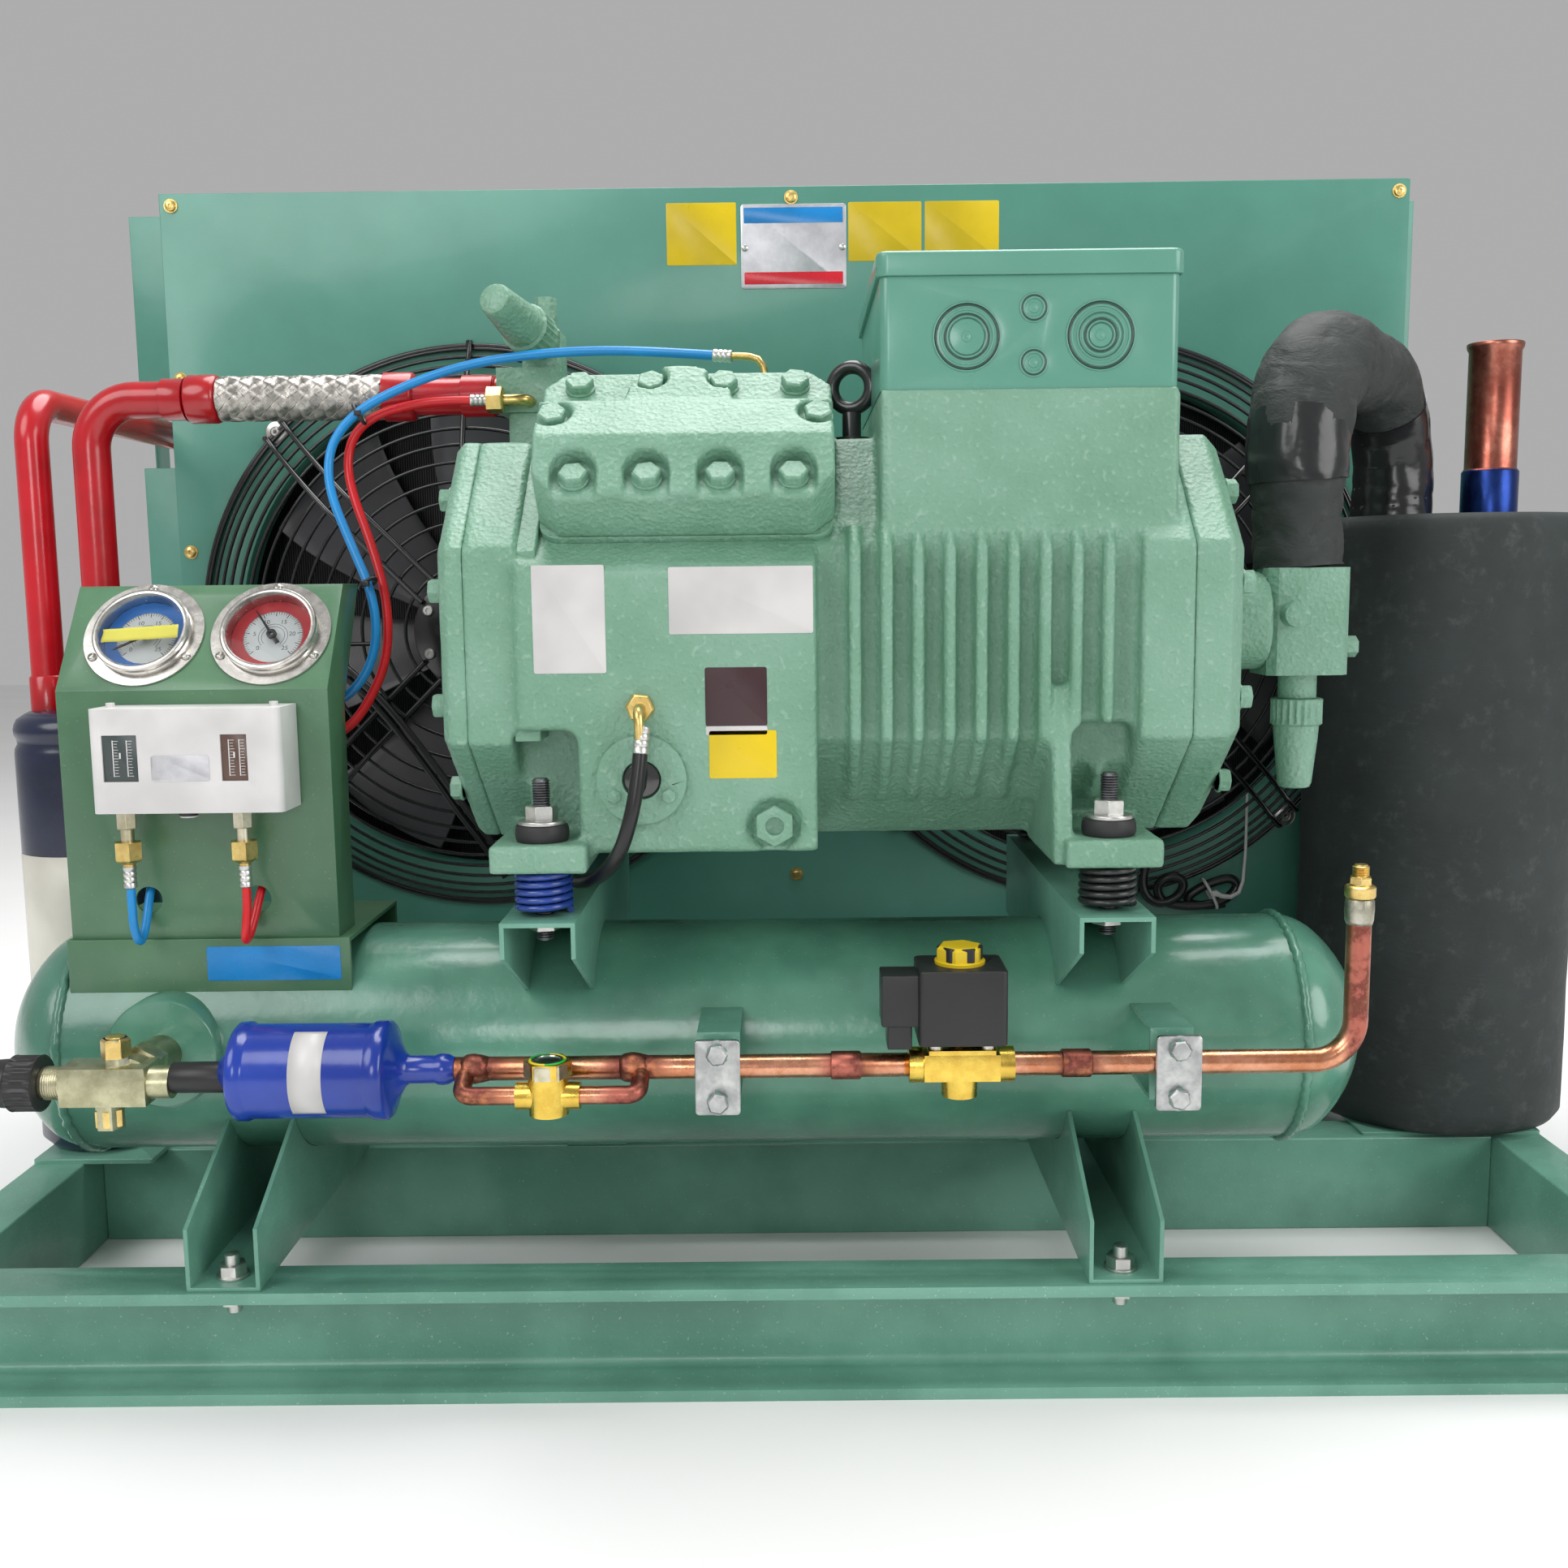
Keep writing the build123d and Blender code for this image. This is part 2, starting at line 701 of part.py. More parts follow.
def terminal_box():
    """Moulded box on the pedestal, open at the top under its lid."""
    outer = block(box_x, box_y, box_z)
    outer = fillet(outer.edges().filter_by(Axis.Z), 6)
    inner = block(
        (box_x[0] + box_wall, box_x[1] - box_wall),
        (box_y[0] + box_wall, box_y[1] - box_wall),
        (box_z[0] + box_wall, box_z[1] + 1),
    )
    body = outer - inner
    front = box_y[0]
    for x, z, radii in knock_outs:
        for radius in radii:
            body -= rod((x, front - 1, z), (0, 1, 0), radius, 2, bore=radius - 1.5)
    return body


def terminal_lid():
    edge = 2.5
    lid = block(
        (box_x[0] - edge, box_x[1] + edge), (box_y[0] - edge, box_y[1] + edge), (box_z[1], box_z[1] + box_lid)
    )
    lid = fillet(lid.edges().filter_by(Axis.Z), 8)
    lid = fillet(lid.faces().sort_by(Axis.Z)[-1].edges(), 3)
    return lid


def lifting_eye():
    x = 47.0
    ring = Pos(x, compressor_y, body_top + 42) * Rot(0, 90, 0) * Torus(15, 5)
    shank = rod((x, compressor_y, body_top), (0, 0, 1), 7, 24)
    collar = rod((x, compressor_y, body_top), (0, 0, 1), 13, 6)
    return union([ring, shank, collar])


def oil_sight_glass():
    """Round flange with a window, held by three bolts."""
    flange = rod((sight_x, block_y - 6, sight_z), (0, 1, 0), 30, 6, bore=13)
    flange += rod((sight_x, block_y - 1.5, sight_z), (0, 1, 0), 14, 1.5)
    for i in range(3):
        angle = radians(90 + 120 * i)
        x = sight_x + 21 * cos(angle)
        z = sight_z + 21 * sin(angle)
        flange += hexagon((x, block_y - 10, z), (0, 1, 0), 9, 5)
    return flange


def oil_drain():
    """Hex plug with a socket in the drain recess."""
    plug = hexagon((drain_x, block_y - 6, drain_z), (0, 1, 0), 24, 12, bore=6)
    return plug + rod((drain_x, block_y - 1, drain_z), (0, 1, 0), 11.5, 7)


def discharge_valve():
    """Shut-off valve on the discharge side: block, pipe socket, hex gauge port and stem."""
    x0, x1 = discharge_valve_x
    body = block((x0, x1), discharge_valve_y, (valve_seat_z, valve_seat_z + 34))
    body += block((x0 + 20, x1), (246, 280), (valve_seat_z + 30, 752))
    body = chamfer(body.faces().sort_by(Axis.Z)[-1].edges(), 6)
    body += hexagon((-188, 256, 750), (0, 0, 1), 15, 22)
    body += rod(discharge_cap_base, discharge_cap_axis, 13, 12)
    return body + rod(discharge_cap_base, discharge_cap_axis, 6, 52)


def valve_cap(base, axis, stand):
    """Tapered screw cap with a fluted collar, hollow over the valve's stem."""
    direction = Vector(*axis).normalized()
    start = Vector(*base) + direction * (stand + clear)
    outline = [(0, 19), (20, 19), (20.1, 16.5), (30, 16), (64, 12.5), (68, 9)]
    cap = turned(start, direction, outline)
    return cap - rod(start - direction, direction, 6.6, 45)


def suction_valve():
    """Rotalock shut-off valve on the motor cover: boss, block, hex plug, pilot port and stem."""
    x, y, z = suction_x, compressor_y, suction_z
    body = block((x - 30, x + 30), (y - 26, y + 26), (z - 42, suction_top))
    body = chamfer(body.edges().filter_by(Axis.Z), 6)
    body += hexagon((x + 30, y, z - 22), (1, 0, 0), 14, 13)
    body += rod((x - 14, y - 26, z + 3), (0, -1, 0), 9, 14)
    body += rod((x, y, z - 60), (0, 0, 1), 14, 19)
    return body + rod((x, y, z - 102), (0, 0, 1), 6, 50)


# ---------------------------------------------------------------- discharge side


def discharge_pipe():
    """Painted line from the valve to the braided section, and on to the oil separator."""
    y, z, r = discharge_y, discharge_z, discharge_radius
    start = discharge_valve_x[0]
    first = rod((start, y, z), (-1, 0, 0), r, start - flexible_x[1])
    first += rod((start - 6, y, z), (-1, 0, 0), r + 2, 26)
    first += rod((flexible_x[1] + 24, y, z), (-1, 0, 0), 19, 24)
    second = pipe([(flexible_x[0], y, z), (separator_in_x, y, z), (separator_in_x, y, separator_top)], 38, r)
    second += rod((flexible_x[0] - 26, y, z), (1, 0, 0), 19, 26)
    second += rod((flexible_x[0] - 46, y, z), (1, 0, 0), r + 2, 20)
    return group(first, second)


def discharge_hose():
    """Vibration absorber: braided corrugated hose between its two collars."""
    x0, x1 = flexible_x
    return rod((x0, discharge_y, discharge_z), (1, 0, 0), 17.5, x1 - x0)


def oil_separator():
    """Painted steel vessel with a stepped shoulder, standing on a foot plate on the side beam."""
    r = separator_radius
    height = separator_top - 84
    outline = [
        (0, r - 9), (10, r), (height - 34, r), (height - 26, r - 3),
        (height - 16, r), (height - 4, r - 3), (height, 30),
    ]
    body = turned((separator_x, separator_y, 84), (0, 0, 1), outline)
    body += rod((separator_x, separator_y, separator_top - 20), (0, 0, 1), 46, 20)
    foot_x = (min(separator_x - 39, 0.5 - frame_length / 2), max(separator_x + 60, channel_width - frame_length / 2))
    foot = block(foot_x, (separator_y - 60, separator_y + 60), (80, 84))
    return group(body + foot)


def condenser_inlet():
    """Painted pipe from the separator's outlet up and straight back to the condenser's header."""
    x, y = separator_out_x, separator_y
    return pipe([(x, y, separator_top), (x, y, inlet_z), (x, inlet_back_y, inlet_z)], 34, 13)


# ---------------------------------------------------------------- suction side
def accumulator():
    """Insulated suction accumulator on its foot plate with its inlet stub."""
    z0, z1 = accumulator_z
    outline = [
        (0, accumulator_radius - 8), (8, accumulator_radius), (z1 - z0 - 24, accumulator_radius),
        (z1 - z0, accumulator_radius - 7),
    ]
    body = turned((accumulator_x, accumulator_y, z0), (0, 0, 1), outline)
    beam = frame_length / 2
    plate = block((480, beam), (cross_beam_y + 4, accumulator_y + 90), (channel_height, z0))
    return group(body + plate)


def suction_stub():
    """Flared copper stub of the suction line, open at the top."""
    z1 = accumulator_z[1]
    wide = stub_radius + 2
    stub = rod((stub_x, accumulator_y, z1), (0, 0, 1), stub_radius, stub_length, bore=stub_bore)
    stub += rod((stub_x, accumulator_y, z1 + stub_length - 4), (0, 0, 1), wide, 4, bore=stub_bore)
    return stub + rod((stub_x, accumulator_y, z1), (0, 0, 1), wide, 40, bore=stub_bore)


def suction_pipe():
    """Foam-covered suction line arching from the accumulator over to the suction valve."""
    points = [
        (suction_x, compressor_y + 4, suction_top),
        (suction_x, compressor_y + 4, arch_z),
        (arch_x, accumulator_y, arch_z),
        (arch_x, accumulator_y, accumulator_z[1]),
    ]
    return pipe(points, 84, arch_radius)


# ---------------------------------------------------------------- liquid line


def receiver_valve():
    """Receiver outlet valve: adaptor on the pad, hex block with two caps, pipe socket and stem."""
    y, z = liquid_y, liquid_valve_z
    pad_y = receiver_y - receiver_radius - 6
    body = rod((receiver_pad_x, y, receiver_pad_z), (0, 1, 0), 14, pad_y - y)
    body += hexagon((receiver_pad_x, y + 14, receiver_pad_z), (0, 1, 0), 32, 14)
    body += block((-490, -432), (y - 13, y + 13), (z - 13, z + 13))
    body += rod((-432, y, z), (1, 0, 0), 11, 14)
    body += hexagon((-455, y, z + 13), (0, 0, 1), 15, 18)
    body += hexagon((-462, y, z - 13), (0, 0, -1), 17, 18)
    body += rod((-490, y, z), (-1, 0, 0), 11, 15)
    return body + rod(liquid_cap_base, (-1, 0, 0), 6, 42)


def filter_drier():
    """Filter drier shell with rolled beads, conical ends and its two connecting sleeves."""
    x0, x1 = drier_x
    r = drier_radius
    length = x1 - x0
    outline = [
        (0, 11), (10, r - 6), (12, r), (20, r), (22, r - 1.5),
        (length - 24, r - 1.5), (length - 22, r), (length - 12, r), (length - 10, r - 6), (length, 11),
    ]
    body = turned((x0, liquid_y, liquid_z), (1, 0, 0), outline)
    body += rod((-418, liquid_y, 225), (1, 0, 0), 10.5, 40)
    return body + rod((x1, liquid_y, liquid_z), (1, 0, 0), 9.5, 31)


def liquid_pipe():
    """Copper line from the drier to the solenoid valve with the bypass loop of the moisture indicator."""
    start = drier_x[1] + 31
    first = rod((start, liquid_y, liquid_z), (1, 0, 0), liquid_radius, solenoid_x[0] - start)
    first += rod((24, liquid_y, liquid_z), (1, 0, 0), liquid_radius + 1.5, 20)
    for side, x in zip((1, -1), loop_x):
        end = indicator_x - side * 21
        first += pipe([(x, liquid_y - 4, liquid_z - 2), (x, loop_y, loop_z), (end, loop_y, loop_z)], 7.5, 6)
    second = [(solenoid_x[1], liquid_y, liquid_z), (riser_x, liquid_y, liquid_z), (riser_x, liquid_y, riser_top)]
    second = pipe(second, 28, liquid_radius)
    second += rod((178, liquid_y, liquid_z), (1, 0, 0), liquid_radius + 1.5, 20)
    return group(first, second)


def moisture_indicator():
    """Brass sight glass body in the bypass loop, with its hexagonal window ring."""
    x, y, z = indicator_x, loop_y, loop_z
    body = rod((x - 21, y, z), (1, 0, 0), 9, 42)
    body += rod((x, y, z - 12), (0, 0, 1), 13, 26)
    return body + hexagon((x, y, z + 14), (0, 0, 1), 27, 10, bore=9)


def solenoid_valve():
    """Brass valve body with sockets, cover flange with four screws and the core tube."""
    x0, x1 = solenoid_x
    middle = (coil_box_x[0] + coil_box_x[1]) / 2
    y, z = liquid_y, liquid_z
    body = rod((x0, y, z), (1, 0, 0), 12, x1 - x0)
    body += block((middle - 25, middle + 25), (y - 20, y + 20), (z - 6, z + 12))
    body += block((middle - 22, middle + 22), (y - 20, y + 20), (z + 12, z + 15))
    body += rod((middle, y, z - 21), (0, 0, 1), 12, 21)
    for dx in (-17, 17):
        for dy in (-14, 14):
            body += rod((middle + dx, y + dy, z + 15), (0, 0, 1), 3.5, 4)
    body += rod((middle, y, z + 15), (0, 0, 1), 7, 64)
    return body - rod((x0 - 1, y, z), (1, 0, 0), 3, x1 - x0 + 2)


def solenoid_coil():
    """Moulded coil with its plug connector and hexagonal cap."""
    x0, x1 = coil_box_x
    y, z = liquid_y, liquid_z + 19.5
    middle = (x0 + x1) / 2
    body = block((x0, x1), (y - 26, y + 22), (z, z + 50))
    body = fillet(body.edges().filter_by(Axis.Z), 4)
    body += block((x0 - 24, x0), (y - 20, y + 8), (z + 12, z + 46))
    body += block((x0 - 20, x0 - 4), (y - 18, y + 6), (z - 4, z + 12))
    body += hexagon((middle, y, z + 50), (0, 0, 1), 27, 12)
    return body - rod((middle, y, z - 1), (0, 0, 1), 7.2, 61)


def pipe_clamp(x):
    """Clamp plate with two hex bolts in front of the pipe and its welded bracket behind."""
    z0, z1 = clamp_z
    front = liquid_y - liquid_radius - 3.3
    plate = block((x - 14.5, x + 14.5), (front, front + 3), (z0, z1))
    plate = fillet(plate.edges().filter_by(Axis.Y), 3)
    back = liquid_y + liquid_radius + 0.3
    bracket = block((x - 14.5, x + 14.5), (back, receiver_y), (z0, z1))
    bracket -= block((x - 20, x + 20), (back + sheet, receiver_y + 1), (z0 + sheet, z1 - sheet))
    bracket -= receiver_cut()
    bolts = []
    for z in (z0 + 8.5, z1 - 8.5):
        shank = rod((x, front, z), (0, 1, 0), 3, back + sheet + 6 - front)
        bolts.append(shank + hexagon((x, front - 5, z), (0, 1, 0), 13, 5))
        hole = rod((x, front - 1, z), (0, 1, 0), 3, back + 20 - front)
        plate -= hole
        bracket -= hole
    return [plate, bracket] + bolts


def access_fitting():
    """Brass service connector on the liquid riser."""
    outline = [(0, 10), (8, 10), (9, 7), (12, 7), (12.1, 5.5), (22, 5.5)]
    body = turned((riser_x, liquid_y, riser_top), (0, 0, 1), outline)
    return body + hexagon((riser_x, liquid_y, riser_top + 9), (0, 0, 1), 13, 5)


# ---------------------------------------------------------------- gauge panel
lean = atan2(gauge_top_y - gauge_panel_y, gauge_top_z - gauge_bend_z)
gauge_up = Vector(0, sin(lean), cos(lean))
gauge_normal = Vector(0, -cos(lean), sin(lean))


def gauge_centre(x):
    """Point on the leaning face where a gauge sits, just above the bend."""
    return Vector(x, gauge_panel_y, gauge_bend_z) + gauge_up * 46


def gauge_plane(x):
    return Plane(origin=gauge_centre(x), x_dir=(1, 0, 0), z_dir=gauge_normal)


def panel_outline(inset, depth):
    """Side view of the panel: upright face, leaning face and return, drawn inside by inset."""
    return [
        (gauge_panel_y + inset, gauge_panel_z0 - (1 if inset else 0)),
        (gauge_panel_y + inset, gauge_bend_z - inset * 0.3),
        (gauge_top_y + inset * 0.7, gauge_top_z - inset),
        (gauge_top_y + depth, gauge_top_z - inset),
        (gauge_panel_y + depth, gauge_bend_z - 12),
        (gauge_panel_y + depth, gauge_panel_z0 - (1 if inset else 0)),
    ]


def gauge_panel():
    """Folded sheet panel with holes for the gauges and the hoses."""
    x0, x1 = gauge_panel_x
    t = panel_sheet
    body = along_x(x0, x1, panel_outline(0, 40)) - along_x(x0 + t, x1 - t, panel_outline(t, 60))
    for x in gauge_x:
        body -= gauge_plane(x) * Cylinder(gauge_case + 0.3, 20)
    for x in hose_hole_x:
        body -= rod((x, gauge_panel_y - 5, hose_hole_z), (0, 1, 0), 9.5, 12)
    return body


def panel_tray():
    """Folded bracket welded over the receiver, on which the panel stands."""
    x0, x1 = gauge_panel_x[0] - 3, gauge_panel_x[1] + 8
    y0 = gauge_panel_y - 3
    back = 2 * receiver_y - y0
    body = block((x0, x1), (y0, back), (240, gauge_panel_z0))
    body -= block((x0 - 1, x1 + 1), (y0 + sheet, back - sheet), (200, gauge_panel_z0 - sheet))
    body -= receiver_cut()
    return body


def gauge_body(x):
    """Flanged gauge case with its dial, bezel and the needle's pivot."""
    plane = gauge_plane(x)
    case = Pos(0, 0, -gauge_depth) * Cylinder(gauge_case, gauge_depth + 9, align=on_base)
    case += Cylinder(gauge_radius, 1.6, align=on_base)
    case -= Pos(0, 0, -4) * Cylinder(gauge_window, 20, align=on_base)
    case += Pos(0, 0, -4) * Cylinder(1.5, 6, align=on_base)
    return plane * case


def gauge_glass(x):
    return gauge_plane(x) * (Pos(0, 0, 6) * Cylinder(gauge_window, 2, align=on_base))


def gauge_needle(x, angle):
    """Pointer with its hub and short tail, turning on the pivot."""
    blade = Polyline((-1.6, -9), (1.6, -9), (1.2, 0), (0.4, 24), (-0.4, 24), (-1.2, 0), close=True)
    needle = Pos(0, 0, -1) * extrude(make_face(blade), 0.8)
    needle += Pos(0, 0, -1.6) * Cylinder(3.5, 2.4, align=on_base)
    needle -= Cylinder(1.5 + running, 20)
    return gauge_plane(x) * Rot(0, 0, angle) * needle


def pressure_switch():
    """Dual pressure switch case with two scale windows, on stand-offs."""
    y0 = gauge_panel_y - switch_depth
    low, high = switch_z
    body = block((-479, -348), (y0, gauge_panel_y - 2), switch_z)
    body = fillet(body.edges().filter_by(Axis.Z).sort_by(Axis.Y)[:2], 5)
    for x0, x1 in ((-470, -446), (-389, -371)):
        body -= block((x0, x1), (y0 - 1, y0 + 1.2), (low + 22, high - 18))
    for sx in (-465, -362):
        body += rod((sx, gauge_panel_y, (low + high) / 2), (0, -1, 0), 6, 4)
    for sx in (-470, -357):
        body += rod((sx, switch_port_y, high), (0, 0, 1), 3, 3)
    return body + rod((-420, switch_port_y, low), (0, 0, -1), 6, 5)


def switch_fittings():
    """Nickel connectors with brass flare nuts under the switch."""
    fittings = []
    for x in switch_ports_x:
        low = switch_z[0]
        piece = hexagon((x, switch_port_y, low), (0, 0, -1), 12, 22)
        piece += hexagon((x, switch_port_y, low - 22), (0, 0, -1), 17, 17)
        piece += rod((x, switch_port_y, low - 39), (0, 0, -1), 4.5, 16)
        fittings.append(piece)
    return group(*fittings)


def gauge_tees():
    """Brass tees behind the panel that join each gauge to its hose and to the switch."""
    tees = []
    for x, z in zip(gauge_x, tee_z):
        tee = rod((x - 9, 150, z), (1, 0, 0), 6, 22)
        tee += rod((x, 150, z - 12), (0, 0, 1), 6, 80)
        tee -= gauge_plane(x) * Pos(0, 0, -gauge_depth) * Cylinder(60, 100, align=on_base)
        tees.append(tee)
    return group(*tees)


def hose_end_fittings():
    """Crimped ends and brass connectors of the gauge hoses at the compressor."""
    low_end = Vector(*low_hose_route[-1])
    blue = rod(low_end, (39, -8, -4), 4.5, 14)
    elbow = low_end + Vector(31, -6, -3)
    blue += pipe([low_end + Vector(10, -2, -1), elbow, low_end + Vector(38, -8, -22)], 8, 2.5)
    high_end = Vector(*high_hose_route[-1])
    red = rod(high_end, (1, 0, 0), 4.5, 14)
    red += hexagon(high_end + Vector(13, 0, 0), (1, 0, 0), 18, 14)
    elbow = high_end + Vector(26, 0, 0)
    red += pipe([elbow, elbow + Vector(18, 0, 0), elbow + Vector(18, 12, 0)], 6, 4.5)
    banjo = hexagon((sight_x, block_y - 7, banjo_z), (0, 1, 0), 17, 7)
    banjo += pipe([(sight_x, block_y - 6, banjo_z), (sight_x, 18, banjo_z), (sight_x + 1, 18, 450)], 8, 3.5)
    start, after = [Vector(*point) for point in oil_hose_route[:2]]
    banjo += rod(start, start - after, 5.5, 18)
    return group(blue, red, banjo)


# ---------------------------------------------------------------- condenser


def fan_panel():
    """Front sheet of the condenser with two fan openings and their rolled collars."""
    t = panel_sheet
    body = block(panel_x, (panel_y, panel_y + t), (channel_height + rail_height, panel_z[1]))
    for x in fan_x:
        body += rod((x, panel_y + t / 2, fan_z), (0, 1, 0), fan_hole + t, 30)
        body -= rod((x, panel_y - 1, fan_z), (0, 1, 0), fan_hole, 60)
    return body


def plenum_plates():
    """Top, bottom and side sheets between the fan panel and the coil."""
    t = panel_sheet
    y = (panel_y + t, coil_y[0])
    low = channel_height + rail_height + rail_wall
    top = panel_z[1]
    return group(
        block((panel_x[0], panel_x[0] + t), y, (low, top)),
        block((panel_x[1] - t, panel_x[1]), y, (low, top)),
        block((panel_x[0] + t, panel_x[1] - t), y, (top - t, top)),
        block((panel_x[0] + t, panel_x[1] - t), y, (low, low + t)),
    )


def condenser_rails():
    """Angle bars across the side beams that carry the panel and the coil."""
    reach = frame_length / 2
    z = (channel_height, channel_height + rail_height)
    y0 = panel_y + panel_sheet
    front = block((-reach, reach), (y0, y0 + 40), z)
    front += block((-reach + 50, reach - 54), (y0, y0 + rail_height), (z[0], z[1] + rail_wall))
    rear = block((-reach, reach), (coil_y[0] + 10, coil_y[1]), z)
    return group(front, rear)


def condenser_coil():
    """Fin pack between its tube sheets."""
    z = (channel_height + rail_height, panel_z[1])
    body = block(coil_x, (coil_y[0] + 2, coil_y[1]), (z[0] + 12, z[1] - 12))
    sheets = [block((x - 2, x), coil_y, z) for x in (coil_x[0], coil_x[1] + 2)]
    frame = [block((coil_x[0], coil_x[1]), coil_y, (a, b)) for a, b in ((z[0], z[0] + 12), (z[1] - 12, z[1]))]
    return body + sheets[0] + sheets[1] + frame[0] + frame[1]


def end_cover(side):
    """Folded cover over the coil's return bends; the left one has a notch for the inlet pipe."""
    inner = coil_x[0] - 2 if side < 0 else coil_x[1] + 2
    outer = cover_x[0] if side < 0 else cover_x[1]
    x = tuple(sorted((inner, outer)))
    y = (coil_y[0] + 26, coil_y[1] + 12)
    z = (channel_height + rail_height, panel_z[1] + 6)
    body = block(x, y, z)
    room = tuple(sorted((inner, outer - side * panel_sheet)))
    body -= block(room, (y[0] + panel_sheet, y[1] + 1), (z[0] - 1, z[1] - panel_sheet))
    if side < 0:
        body -= block((outer - 1, inner - 14), (y[0] - 1, y[0] + 30), notch_z)
    return body


def header_pipe():
    """Copper inlet header behind the left cover's notch."""
    x = separator_out_x
    header = rod((x, inlet_back_y + 24, 400), (0, 0, 1), 12, 420)
    return header + rod((x, inlet_back_y, inlet_z), (0, 1, 0), 10, 24)


def guard_face_y(radius):
    """How far back a guard wire lies at a radius: flat in the middle, sloping back to the rim."""
    rise = max(0.0, radius - 150.0) / (ring_radii[0] - 150.0)
    return panel_y - 60 + 56 * rise**1.6


def fan_guard(x):
    """Wire guard: rings tied by four double struts, with the motor's seat in the middle."""
    pieces = []
    for radius in ring_radii:
        pieces.append(rod((0, guard_face_y(radius), 0), (0, 1, 0), radius, ring_wire, bore=radius - ring_wire))
    pieces.append(rod((0, guard_face_y(0), 0), (0, 1, 0), 52, 4, bore=14))
    stations = [ring_radii[0] - 1, *ring_radii[1:4], 50.0]
    front = [(r, guard_face_y(r) + 0.5) for r in stations]
    back = [(r, guard_face_y(r) + ring_wire) for r in reversed(stations[1:])]
    foot = [(ring_radii[0] - 9, panel_y), (ring_radii[0] - 1, panel_y)]
    strut = extrude(Plane.XY * make_face(Polyline(*front, *back, *foot, close=True)), 2, both=True)
    for quarter in range(4):
        for offset in (-11, 11):
            pieces.append(Rot(0, 45 + 90 * quarter, 0) * Pos(0, 0, offset) * strut)
    return Pos(x, 0, fan_z) * union(pieces)


def fan_motor(x):
    """Fixed part of the outer-rotor motor: flange on the guard, body and shaft."""
    y0 = guard_face_y(0) + 4
    body = rod((x, y0, fan_z), (0, 1, 0), 46, panel_y + 4 - y0)
    return body + rod((x, panel_y + 4, fan_z), (0, 1, 0), 8, 46)


def fan_wheel(x):
    """Axial wheel: hub turning on the motor shaft and twisted blades."""
    y0 = panel_y + 9
    hub = rod((0, y0, 0), (0, 1, 0), fan_hub, fan_depth)
    middle = y0 + fan_depth / 2
    root = Plane(origin=(fan_hub - 8, middle, 0), x_dir=(0, sin(radians(38)), cos(radians(38))), z_dir=(1, 0, 0))
    tip = Plane(origin=(fan_radius + 6, middle, 0), x_dir=(0, sin(radians(16)), cos(radians(16))), z_dir=(1, 0, 0))
    blade = loft([root * Rectangle(58, 4), tip * Rectangle(150, 2.5)])
    limit = rod((0, y0 - 20, 0), (0, 1, 0), fan_radius, fan_depth + 40)
    blade &= limit
    wheel = union([hub] + [Rot(0, 360 / blade_count * i, 0) * blade for i in range(blade_count)])
    wheel -= rod((0, y0 - 1, 0), (0, 1, 0), 8 + running, fan_depth - 10)
    return Pos(x, 0, fan_z) * wheel


